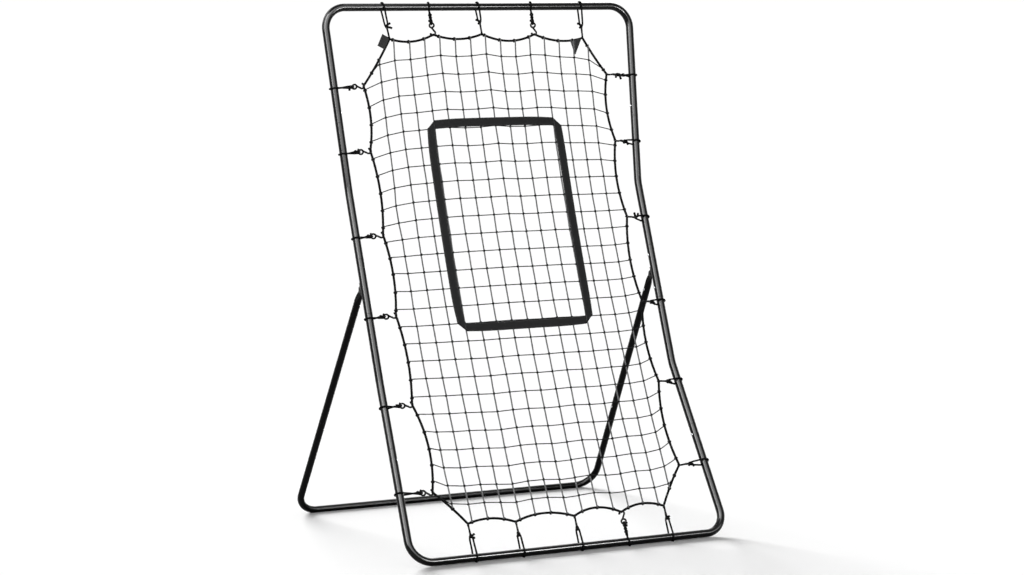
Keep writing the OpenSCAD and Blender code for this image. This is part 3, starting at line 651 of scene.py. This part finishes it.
# A row's way round a column as (across, up, forward), in the cord's radii
KNOT = CORD_R * np.array(
    [
        (-4.6, 0.0, 0.0), (-3.0, 0.3, 0.5), (-1.7, 1.1, 1.7), (0.3, 2.2, 1.9), (1.9, 2.2, 0.4),
        (1.3, 1.3, -1.7), (-0.7, 0.2, -2.1), (-2.1, -1.2, -0.8), (-1.5, -2.2, 1.2), (0.6, -1.6, 2.1),
        (2.0, -0.6, 1.1), (3.2, -0.1, 0.3), (4.6, 0.0, 0.0),
    ]
)

STRAP_HALF_W, STRAP_HALF_H, STRAP_MID, STRAP_W = 217.5, 315, 959, 25.4
STRAP_BACK, STRAP_T, STRAP_RISE, STRAP_LEFT = 2.15, 1.2, 70, 1
STRAP_STEPS, STRAP_STEP = 8, 6
STITCH, STITCH_IN, STITCH_END, THREAD_R = 4.5, 2.6, 4, 0.32
CORNER_PULL, CORNER_REACH = 4.2, 62
UNDER_MARGIN = 4


def under_strap(x, s):
    """Whether the target's webbing lies on the net there."""
    dx, ds = STRAP_HALF_W - abs(x), STRAP_HALF_H - abs(s - STRAP_MID)
    return -UNDER_MARGIN < min(dx, ds) < STRAP_W + UNDER_MARGIN


def knot_at(x, s, slope):
    """A row's cord as it winds round a column."""
    points = KNOT.copy()
    if under_strap(x, s):
        points[:, 2] = np.minimum(points[:, 2], STRAP_BACK - CORD_R - 0.1)
    turn = rng.uniform(-0.25, 0.25)
    size = rng.uniform(0.92, 1.1)
    c, d = math.cos(turn), math.sin(turn)
    along = size * (c * points[:, 0] - d * points[:, 1])
    fade = np.clip(1 - np.abs(points[:, 0]) / 6, 0, 1) ** 0.3
    up = size * (d * points[:, 0] + c * points[:, 1]) * fade
    up[0] = up[-1] = 0
    along[0], along[-1] = points[0, 0], points[-1, 0]
    return net(x + along, s + slope * along + up, NET_FORWARD + points[:, 2])


WIND_R, WIND_TURNS, NET_FORWARD = ROPE_FULL_R + 0.8 * CORD_R, 2, 0.5


def wrap(x, s, inward):
    """A cord's end wound round the rope at (x, s), which it meets from inward."""
    at = net(x, s)
    near = np.argmin(np.hypot(ROPE_XS[:, 0] - x, ROPE_XS[:, 1] - s))
    a, b = ROPE_XS[near - 1], ROPE_XS[(near + 1) % len(ROPE_XS)]
    way = unit(net(*b) - net(*a))
    toward_net = across(net(x + 5 * inward[0], s + 5 * inward[1]) - at, way)
    out = np.cross(way, toward_net)
    steps = 10 * WIND_TURNS + 1
    angle = np.linspace(0.25 * TAU, (0.25 + WIND_TURNS) * TAU, steps)
    slide = np.linspace(-1, 1, steps) * WIND_TURNS * CORD_R
    winds = WIND_R * (np.cos(angle)[:, None] * toward_net + np.sin(angle)[:, None] * out)
    return at + winds + slide[:, None] * way


def row_line(j):
    """A row's line, wound on the rope at both ends and round each column that it crosses."""
    s_left, s_right = row_s(j, -ROW_END_X), row_s(j, ROW_END_X)
    x_left, x_right = edge_x(s_left, False), edge_x(s_right, True)
    places = []
    for x in COLUMN_X:
        at = column_x(x, row_s(j, x))
        if x_left + CLEAR_X < at < x_right - CLEAR_X:
            places.append((at, row_s(j, at)))
    line = [wrap(x_left, s_left, (1, 0))[::-1]]
    for x, s in places:
        slope = (row_s(j, x + 20) - row_s(j, x - 20)) / 40
        line.append(spline(knot_at(x, s, slope), 2))
    line.append(wrap(x_right, s_right, (-1, 0)))
    return np.vstack(line)


def column_line(x):
    """A column's run, a little kinked at its knots, and its two ends, wound on the rope."""
    low, high = edge_s(column_x(x, ROPE_BOTTOM), False), edge_s(column_x(x, ROPE_TOP), True)
    heights = [row_s(j, column_x(x, ROW_FIRST + ROW_PITCH * j)) for j in range(ROWS)]
    heights = [s for s in heights if low + CLEAR_S < s < high - CLEAR_S]
    places = [net(column_x(x, s) + rng.uniform(-0.8, 0.8), s, NET_FORWARD) for s in heights]
    ends = column_x(x, low), column_x(x, high)
    foot, top = wrap(ends[0], low, (0, 1))[::-1], wrap(ends[1], high, (0, -1))
    return np.vstack([foot[-1:], places, top[:1]]), foot, top


def dense(line, step=9.0):
    """The same line with more places where its spans are long."""
    out = []
    for a, b in zip(line[:-1], line[1:]):
        n = max(1, int(np.linalg.norm(b - a) / step))
        t = np.linspace(0, 1, n, endpoint=False)[:, None]
        out.append(a + (b - a) * t)
    out.append(line[-1:])
    return np.vstack(out)


rows, columns = Shape(), Shape()
for j in range(ROWS):
    rows.tube(dense(row_line(j)), CORD_ACROSS_R, 7)
for x in COLUMN_X:
    run, *ends = column_line(x)
    columns.tube(dense(run), CORD_UP_R, 7)
    for end in ends:
        rows.tube(end, CORD_ACROSS_R, 7)
rows.build("net_rows", NET_ACROSS, "net_cord", ["net_mesh"])
columns.build("net_columns", NET_UP_PAINTED_LIGHT, "net_cord", ["net_mesh"])

# ---- Edge rope ----

rope = Shape()
rope_line = net(ROPE_XS[:, 0], ROPE_XS[:, 1])
rope.tube(rope_line, ROPE_FULL_R, 12, closed=True)
rope.build("edge_rope_braided", ROPE, "edge_rope", ["edge_rope"])

# ---- Target strap ----


def drawn_in(places):
    """The stitches draw the target's corners in, so that its bands bow out between them."""
    corner = vec(STRAP_HALF_W, STRAP_HALF_H)
    from_middle = places - vec(0, STRAP_MID)
    gap = np.hypot(*(np.abs(from_middle) - corner).T)
    pull = CORNER_PULL * np.exp(-((gap / CORNER_REACH) ** 2))
    return places - vec(STRAP_LEFT, 0) - pull[:, None] * np.sign(from_middle)


def band(shape, stitches, start, end, edge_in, level):
    """A band of webbing from start to end in net places, cut at 45 degrees; its ends rise to level."""
    start, end = vec(*start), vec(*end)
    way = unit(end - start)
    side = vec(*edge_in)
    length = np.linalg.norm(end - start)
    w = np.linspace(0, STRAP_W, STRAP_STEPS + 1)
    t = np.linspace(0, 1, int(length / STRAP_STEP) + 1)

    def lift_at(along):
        a, b = (np.clip(1 - gap / STRAP_RISE, 0, 1) for gap in (along, length - along))
        return STRAP_BACK + level * (a**2 * (3 - 2 * a) + b**2 * (3 - 2 * b))

    for inset in (STITCH_IN, STRAP_W - STITCH_IN):
        steps = int((length - 2 * STITCH_END) / STITCH * 4)
        along = np.linspace(STITCH_END - inset, length - STITCH_END + inset, steps)
        flat = drawn_in(start + along[:, None] * way + inset * side)
        height = lift_at(along) + STRAP_T + 0.12 + 0.3 * np.cos(TAU * np.arange(steps) / 4)
        stitches.tube(net(flat[:, 0], flat[:, 1], height), THREAD_R, 5)
    sections = []
    for share in t:
        along = -w + (length + 2 * w) * share
        flat = drawn_in(start + along[:, None] * way + w[:, None] * side)
        lift = lift_at(along)
        crown = 0.25 * np.sin(np.pi * w / STRAP_W) ** 0.5
        rounded = np.clip(1 - np.minimum(w, STRAP_W - w) / 1.2, 0, 1) ** 2
        half = 0.5 * STRAP_T * (1 - rounded * 0.55)
        middle = lift + 0.5 * STRAP_T
        front = net(flat[:, 0], flat[:, 1], middle + half + crown)
        back = net(flat[:, 0], flat[:, 1], middle - half)
        sections.append(np.vstack([front, back[::-1]]))
    points = np.array(sections)
    u = np.concatenate([w, w[::-1]]) / STRAP_W
    v = t[:, None] * length * MM + 0 * u
    uvs = np.stack([np.broadcast_to(u, v.shape), v], 2)
    shape.grid(points, uvs, closed=True)
    n = points.shape[1]
    total = points.shape[0] * n
    k = np.arange(STRAP_STEPS)
    first = np.stack([k, n - 1 - k, n - 2 - k, k + 1], 1)
    last = (points.shape[0] - 1) * n + np.stack([k, k + 1, n - 2 - k, n - 1 - k], 1)
    zero = np.zeros((len(k) * 4, 2))
    shape.more(first, zero, total)
    shape.more(last, zero, total)


strap, stitches = Shape(), Shape()
low, high = STRAP_MID - STRAP_HALF_H, STRAP_MID + STRAP_HALF_H
near, far = STRAP_HALF_W, STRAP_HALF_W - STRAP_W
OVER = STRAP_T + 0.1
band(strap, stitches, (-far, low), (far, low), (0, 1), 0)
band(strap, stitches, (far, high), (-far, high), (0, -1), 0)
band(strap, stitches, (near, low + STRAP_W), (near, high - STRAP_W), (-1, 0), OVER)
band(strap, stitches, (-near, high - STRAP_W), (-near, low + STRAP_W), (1, 0), OVER)
strap.build("target_webbing", WEBBING, "webbing", ["target_strap"])
stitches.build("target_stitching", THREAD, "webbing")

# ---- Corner tabs ----

TAB_T, TAB_FORWARD, TAB_STEPS = 0.9, ROPE_R + 1.0, 12


def tab(side, x, s, outline, turn, curl, material):
    """A small doubled piece of fabric sewn to the net's corner at (x, s), turned and slightly curled."""
    outline = np.array(outline, float)
    shares = np.linspace(0, 1, TAB_STEPS + 1)
    a, b = np.meshgrid(shares, shares, indexing="ij")
    low_edge = outline[0] + (outline[1] - outline[0]) * b[..., None]
    high_edge = outline[3] + (outline[2] - outline[3]) * b[..., None]
    flat = low_edge + (high_edge - low_edge) * a[..., None]
    c, d = math.cos(math.radians(turn)), math.sin(math.radians(turn))
    px = x + c * flat[..., 0] - d * flat[..., 1]
    ps = s + d * flat[..., 0] + c * flat[..., 1]
    forward = TAB_FORWARD + curl * np.abs(2 * b - 1) ** 2 * a
    front, back = (net(px, ps, forward + half) for half in (TAB_T / 2, -TAB_T / 2))
    wide = np.linalg.norm(outline[1] - outline[0]) + np.linalg.norm(outline[2] - outline[3])
    tall = np.linalg.norm(outline[3] - outline[0])
    uvs = np.stack([b + 0 * a, a * tall * MM], 2)
    shape = Shape()
    shape.grid(front, uvs)
    shape.grid(back[::-1], uvs[::-1])
    rims = [[face[0, :-1], face[:-1, -1], face[-1, :0:-1], face[:0:-1, 0]] for face in (back, front)]
    rim = np.stack([np.concatenate(sides) for sides in rims])
    shape.grid(rim, np.zeros(rim.shape[:2] + (2,)), closed=True)
    piece = shape.build(f"corner_tab_{side}_fabric", material, "tab_fabric", [f"corner_tab_{side}"])
    piece.modifiers.new("weld", "WELD").merge_threshold = 0.00002
    flat = (max(wide / 2, 20) * MM, tall * MM)


tab("left", -316, 1503, [(-12, -19), (12, -19), (12, 19), (-12, 19)], -29, 1.2, TAB)
tab("right", 295, 1487, [(-6, -28), (-3, -28), (23, 21), (-17, 16)], 0, 1.0, TAB_PAINTED_LIGHT)

# ---- Ties ----


def bar_ties(corners, slides, bar):
    """Ties of a bar: where each holds the tube, the tube's way, and where it holds the rope."""
    return [
        (vec(x + slide, bar[1], bar[2]), vec(1, 0, 0), net(x, s)) for (x, s), slide in zip(corners, slides)
    ]


def side_ties(corners, side):
    """The same for the ties of a side, square to its tube."""
    out = []
    for x, s in corners:
        if s < REACH:
            a, b = FOOT, KNEE_LOW
        elif s < PROFILE_LEN - REACH:
            a, b = KNEE_LOW, KNEE_HIGH
        else:
            a, b = KNEE_HIGH, HEAD
        a, b = a * vec(side, 1, 1), b * vec(side, 1, 1)
        way = unit(b - a)
        rope_at = net(x, s)
        out.append((a + np.dot(rope_at - a, way) * way, way, rope_at))
    return out


# The hook: from its eye's middle to its bight's, their radii, and how far off the rope's middle the bight is
HOOK_PITCH, EYE_R, BIGHT_R, HOOK_SEAT = 22.5, 6.4, 6.7, 4.6
BIGHT_ARC = (225, 455)
BALL_TIP = (1.12, 1.28, 1.28, 1.05)
# The elastic: its loops, and the coil and tails of its knot, thicker or thinner by these shares
LOOP_R = TUBE_R + LOOP_GAP + ELASTIC_R
THIN_LOOP_R = 0.7 * ELASTIC_FULL_R
KNOT_TO_EYE, STRAND_SIDE, LOOP_LEAN = 3, 1.9, 2.2
COIL_TURNS, COIL_BACK, COIL_LEN, COIL_Y, COIL_Z = 2.2, 3, 5, 3.5, 3.1
COIL_THICK, TAIL_THICK = 0.9, 1.25
# Its two tails: how far ahead each leans, and its length as a share
TAILS = ((-0.45, 1.15), (0.4, 1))


def local(tie):
    """The tie's axes: X to the rope, Z along the tube as near as may be."""
    x = unit(tie[2] - tie[0])
    y = unit(np.cross(tie[1], x))
    return x, y, np.cross(x, y)


def tail(start, front, side, ahead, length):
    """A cut end that leaves the knot to one side, a little to the front, and droops."""
    way = unit(vec(ahead, 0.25 * front, side))
    bent = unit(vec(ahead + 0.2, 0.1 * front, side))
    a = start + 3 * way
    b = a + 0.5 * length * way
    return spline([start, a, b, b + 0.5 * length * bent], 6)


def strand(knot_x, loop_end, sign, twists):
    """Half of the loop's run from the knot to the tube, wound round the other half if twisted."""
    start = vec(knot_x, STRAND_SIDE * sign, 0)
    if not twists:
        apart = start + vec(-5, 1.5 * sign, 3 * np.sign(loop_end[2]))
        return np.array([start, apart, 0.5 * (apart + loop_end)])
    top = 0.3 * knot_x + 8
    t = np.linspace(0, 1, 9 * twists)
    angle = math.pi * twists * t + (0 if sign > 0 else math.pi)
    wound_r = 0.92 * ELASTIC_FULL_R * (1 + 0.5 * t**3)
    return np.stack([knot_x + (top - knot_x) * t, wound_r * np.cos(angle), wound_r * np.sin(angle)], 1)


def tie_cord(cords, to_world, eye_at, front, spread, twists, side, length):
    """The elastic: a loop round the tube, a thin one through the hook's eye, and a knot with two tails."""
    knot_x = eye_at - KNOT_TO_EYE
    lean = math.asin((LOOP_R - LOOP_LEAN) / knot_x)
    turn = np.linspace(math.pi / 2 - lean, 1.5 * math.pi + lean, 25)
    along_tube = spread * np.linspace(0.5, -0.5, 25)
    loop = np.stack([LOOP_R * np.cos(turn), LOOP_R * np.sin(turn), along_tube], 1)
    behind_run = np.vstack([strand(knot_x, loop[0], 1, twists), loop[:1]])
    front_run = np.vstack([loop[-1:], strand(knot_x, loop[-1], -1, twists)[::-1]])
    line = np.vstack([spline(behind_run, 4)[:-1], loop, spline(front_run, 4)[1:]])
    cords.tube(to_world(line), ELASTIC_FULL_R, 10)
    small = WIRE_FULL_R + THIN_LOOP_R
    half = np.linspace(-math.pi / 2, math.pi / 2, 9)
    eye_loop = np.stack([eye_at + small * np.cos(half), small * np.sin(half), 0 * half], 1)
    eye_loop = np.vstack([[(knot_x, -STRAND_SIDE, 0)], eye_loop, [(knot_x, STRAND_SIDE, 0)]])
    cords.tube(to_world(spline(eye_loop, 3)), THIN_LOOP_R, 10)
    winds = np.linspace(0, COIL_TURNS * TAU, 40)
    coil_x = knot_x - COIL_BACK + COIL_LEN * winds / winds[-1]
    coil = np.stack([coil_x, COIL_Y * np.cos(winds), COIL_Z * np.sin(winds)], 1)
    first, second = (
        tail(start, front, side, ahead, share * length) for start, (ahead, share) in zip(coil[[0, -1]], TAILS)
    )
    first = first[::-1]
    thick = np.repeat([TAIL_THICK, COIL_THICK, TAIL_THICK], [len(first) - 1, len(coil), len(second) - 1])
    cords.tube(to_world(np.vstack([first[:-1], coil, second[1:]])), thick * ELASTIC_FULL_R, 10)


def tie_hook(hooks, seat, x, side):
    """The wire hook in the plane of x and side: an eye, a short shank and a bight over the rope."""

    def to_world(points):
        points = np.asarray(points)
        return seat + points[:, :1] * x + points[:, 1:] * side

    eye_turn = np.linspace(0, TAU, 25)[:-1]
    eye = np.stack([-HOOK_PITCH + EYE_R * np.cos(eye_turn), EYE_R * np.sin(eye_turn)], 1)
    hooks.tube(to_world(eye), WIRE_FULL_R, 10, closed=True)
    bight = np.radians(np.linspace(*BIGHT_ARC, 25))
    curl = np.stack([BIGHT_R * np.cos(bight), BIGHT_R * np.sin(bight)], 1)
    shank = [(-HOOK_PITCH + 0.8 * EYE_R, 0.6 * EYE_R), (-HOOK_PITCH + EYE_R + 2, 0.1 * EYE_R)]
    bend = spline(np.vstack([shank, curl[:2]]), 6)[:-6]
    thick = np.ones(len(bend) + len(curl))
    thick[-len(BALL_TIP) :] = BALL_TIP
    hooks.tube(to_world(np.vstack([bend, curl])), thick * WIRE_FULL_R, 10)


def tie_parts(cords, hooks, tie, edge_on, look):
    """One tie: the elastic and its wire hook."""
    spread, twists, hook_turn, side, length = look
    origin = tie[0]
    x, y, z = local(tie)
    reach = np.linalg.norm(tie[2] - tie[0]) - HOOK_SEAT

    def to_world(points):
        return origin + np.asarray(points) @ np.stack([x, y, z])

    front = -np.sign(y[1])
    tie_cord(cords, to_world, reach - HOOK_PITCH - EYE_R, front, spread, twists, side, length)
    angle = math.radians(edge_on + hook_turn)
    tie_hook(hooks, origin + reach * x, x, math.sin(angle) * y + math.cos(angle) * z)


# The ties of each edge, and the turn at which their hooks are edge-on to the camera. Then how each tie sits: how
# far its strands stand apart on the tube, its twists, its hook's turn from edge-on, and its tails' side and length
TIES = {
    "top": (
        bar_ties(CORNERS_TOP, [-12, -5, -5, -2, 1.5], HEAD),
        64,
        [(-0.5, 0, 0, 1, 10), (8, 3, 90, -1, 3), (-0.5, 0, 0, -1, 7), (8, 3, 90, -1, 3), (-0.5, 0, 0, -1, 8)],
    ),
    "bottom": (
        bar_ties(CORNERS_BOTTOM, [0, 0, 0, 0, 0], FOOT),
        -66,
        [(0.5, 0, 0, 1, 6), (0.5, 0, 0, -1, 6), (0.5, 0, 0, -1, 5), (-8, 3, -84, 1, 3), (0.5, 0, 0, 1, 3)],
    ),
    "left": (side_ties(CORNERS_LEFT, -1), 67, [(0.5, 0, -90, 1, 4)] * 5 + [(0.5, 0, -90, -1, 6)]),
    "right": (
        side_ties(CORNERS_RIGHT, 1),
        -67,
        [(10, 0, 0, -1, 8), (8, 0, 0, -1, 8), (10, 0, 0, -1, 8), (10, 0, 0, 1, 8), (10, 0, 0, -1, 8)]
        + [(3, 2, 0, -1, 11)],
    ),
}
for edge, (ties, edge_on, looks) in TIES.items():
    cords, hooks = Shape(), Shape()
    for tie, look in zip(ties, looks):
        tie_parts(cords, hooks, tie, edge_on, look)
    cords.build(f"ties_{edge}", ELASTIC, "elastic_cord", [f"tie_cords_{edge}"])
    hooks.build(f"hooks_{edge}", WIRE, "hook_wire", [f"tie_hooks_{edge}"])

# ---- Camera ----

# In metres, degrees and pixels, fitted to the photograph's tubes; the centre is where the lens points
CAMERA_AT = (-3.378294, -6.818561, 1.591923)
CAMERA_YAW, CAMERA_PITCH, CAMERA_ROLL = 26.4536, -6.9339, 0.0929
FOCAL_PX, PICTURE_W, PICTURE_H = 2681.5, 1024, 575
CENTRE_X, CENTRE_Y = 513.6, 296.24
SENSOR_W = 36


def make_camera():
    yaw, pitch, roll = (math.radians(a) for a in (CAMERA_YAW, CAMERA_PITCH, CAMERA_ROLL))
    level = math.cos(pitch)
    look_way = Vector((math.sin(yaw) * level, math.cos(yaw) * level, math.sin(pitch)))
    right = Vector((math.cos(yaw), -math.sin(yaw), 0))
    up = right.cross(look_way)
    c, d = math.cos(roll), math.sin(roll)
    right, up = right * c + up * d, up * c - right * d
    data = bpy.data.cameras.new("camera")
    data.sensor_fit = "HORIZONTAL"
    data.sensor_width = SENSOR_W
    data.lens = FOCAL_PX * SENSOR_W / PICTURE_W
    data.shift_x = (PICTURE_W / 2 - CENTRE_X) / PICTURE_W
    data.shift_y = (CENTRE_Y - PICTURE_H / 2) / PICTURE_W
    data.clip_start, data.clip_end = 0.05, 1000
    camera = bpy.data.objects.new("camera", data)
    bpy.context.scene.collection.objects.link(camera)
    turn = Matrix((right, up, -look_way)).transposed()
    camera.matrix_world = Matrix.Translation(CAMERA_AT) @ turn.to_4x4()
    bpy.context.scene.camera = camera


make_camera()

# ---- Floor, world and lights ----

FLOOR_HALF, FLOOR_HIGH = 400, 2.5 * MM  # So high because the front bar presses its tie loops into the floor
FILL = 0.32
SUN_ENERGY, SUN_ANGLE, SUN_FROM = 7.15, 34, (180, 18)
TARGET, LEFT_SIDE = Vector((0, 0, 0.75)), Vector((-0.47, 0, 0.75))


def make_floor():
    data = bpy.data.meshes.new("floor")
    square = np.array([(-1, -1, 0), (1, -1, 0), (1, 1, 0), (-1, 1, 0)]) * FLOOR_HALF + vec(0, 0, FLOOR_HIGH)
    data.from_pydata(square.tolist(), [], [(0, 1, 2, 3)])
    data.materials.append(Look("floor_white", (1.0, 1.0, 1.0), 1.0, IOR=1.0).material)
    floor = bpy.data.objects.new("floor", data)
    bpy.context.scene.collection.objects.link(floor)


def make_world():
    """White where the camera, gloss and glass see it, and a plain soft light on the object."""
    world = bpy.data.worlds.new("studio")
    bpy.context.scene.world = world
    world.use_nodes = True
    tree = world.node_tree
    tree.nodes.clear()
    path = tree.nodes.new("ShaderNodeLightPath")
    seen = path.outputs["Is Camera Ray"]
    for name in ("Is Glossy Ray", "Is Transmission Ray"):
        join = tree.nodes.new("ShaderNodeMath")
        join.operation = "MAXIMUM"
        tree.links.new(seen, join.inputs[0])
        tree.links.new(path.outputs[name], join.inputs[1])
        seen = join.outputs[0]
    white = tree.nodes.new("ShaderNodeBackground")
    white.inputs["Color"].default_value = (1, 1, 1, 1)
    fill = tree.nodes.new("ShaderNodeBackground")
    fill.inputs["Color"].default_value = (1, 1, 1, 1)
    fill.inputs["Strength"].default_value = FILL
    blend = tree.nodes.new("ShaderNodeMixShader")
    out = tree.nodes.new("ShaderNodeOutputWorld")
    tree.links.new(seen, blend.inputs[0])
    tree.links.new(fill.outputs[0], blend.inputs[1])
    tree.links.new(white.outputs[0], blend.inputs[2])
    tree.links.new(blend.outputs[0], out.inputs[0])


def gloss_panel(name, at, facing, width, height, radiance):
    """A soft panel that only gloss sees, so it draws the highlights and lights nothing."""
    data = bpy.data.lights.new(name, "AREA")
    data.shape = "RECTANGLE"
    data.size, data.size_y = width, height
    data.energy = radiance * width * height * math.pi
    lamp = bpy.data.objects.new(name, data)
    bpy.context.scene.collection.objects.link(lamp)
    lamp.location = at
    lamp.rotation_euler = (Vector(at) - Vector(facing)).to_track_quat("Z", "Y").to_euler()
    lamp.visible_camera = False
    lamp.visible_diffuse = False


def around(azimuth, elevation):
    """The way out from the object, with azimuth from the front to the right."""
    a, e = math.radians(azimuth), math.radians(elevation)
    return Vector((math.sin(a) * math.cos(e), -math.cos(a) * math.cos(e), math.sin(e)))


def make_sun():
    """The key: a broad soft light from above and behind, which draws the shadows under the bars."""
    data = bpy.data.lights.new("key", "SUN")
    data.energy = SUN_ENERGY
    data.angle = math.radians(SUN_ANGLE)
    lamp = bpy.data.objects.new("key", data)
    bpy.context.scene.collection.objects.link(lamp)
    lamp.rotation_euler = around(*SUN_FROM).to_track_quat("Z", "Y").to_euler()
    lamp.visible_camera = False
    lamp.visible_glossy = False


make_floor()
make_world()
make_sun()
# Round the object: azimuth, elevation, distance, what it faces, width, height and radiance
ROUND_PANELS = {
    "panel_0": (-88, 40, 4.0, TARGET, 2.1, 3.4, 10.0),
    "panel_1": (-57, 40, 4.0, TARGET, 2.1, 3.4, 25.0),
    "panel_2": (-26, 40, 4.0, TARGET, 2.1, 3.4, 16.0),
    "panel_3": (5, 40, 4.0, TARGET, 2.1, 3.4, 11.0),
    "strip_left": (-58, 38, 3.0, LEFT_SIDE, 0.45, 3.2, 34.0),
    "rear_panel_0": (145, 42, 4.0, TARGET, 1.2, 3.0, 7.0),
    "rear_panel_1": (-140, 42, 4.0, TARGET, 1.2, 3.0, 7.0),
}
for name, (azimuth, elevation, distance, facing, *size_and_radiance) in ROUND_PANELS.items():
    gloss_panel(name, facing + distance * around(azimuth, elevation), facing, *size_and_radiance)
# Along the bars: place, what it faces, width, height and radiance
BAR_PANELS = {
    "top_bar_panel": ((1.27, -3.0, 1.68), (1.27, 0, 1.5), 0.8, 0.5, 130.0),
    "top_bar_panel_right": ((2.0, -3.0, 1.68), (2.0, 0, 1.5), 0.66, 0.5, 35.0),
    "bottom_bar_panel": ((0.05, -0.78, 0.26), (0.05, -0.4, 0.02), 0.8, 0.08, 85.0),
    "bottom_bar_panel_right": ((0.72, -0.78, 0.26), (0.72, -0.4, 0.02), 0.5, 0.08, 28.0),
    "rear_bar_panel": ((0.06, 0.206, 0.264), (0.06, 0.408, 0.01), 0.78, 0.045, 60.0),
}
for name, panel in BAR_PANELS.items():
    gloss_panel(name, *panel)

bpy.context.scene.view_settings.view_transform = "Standard"
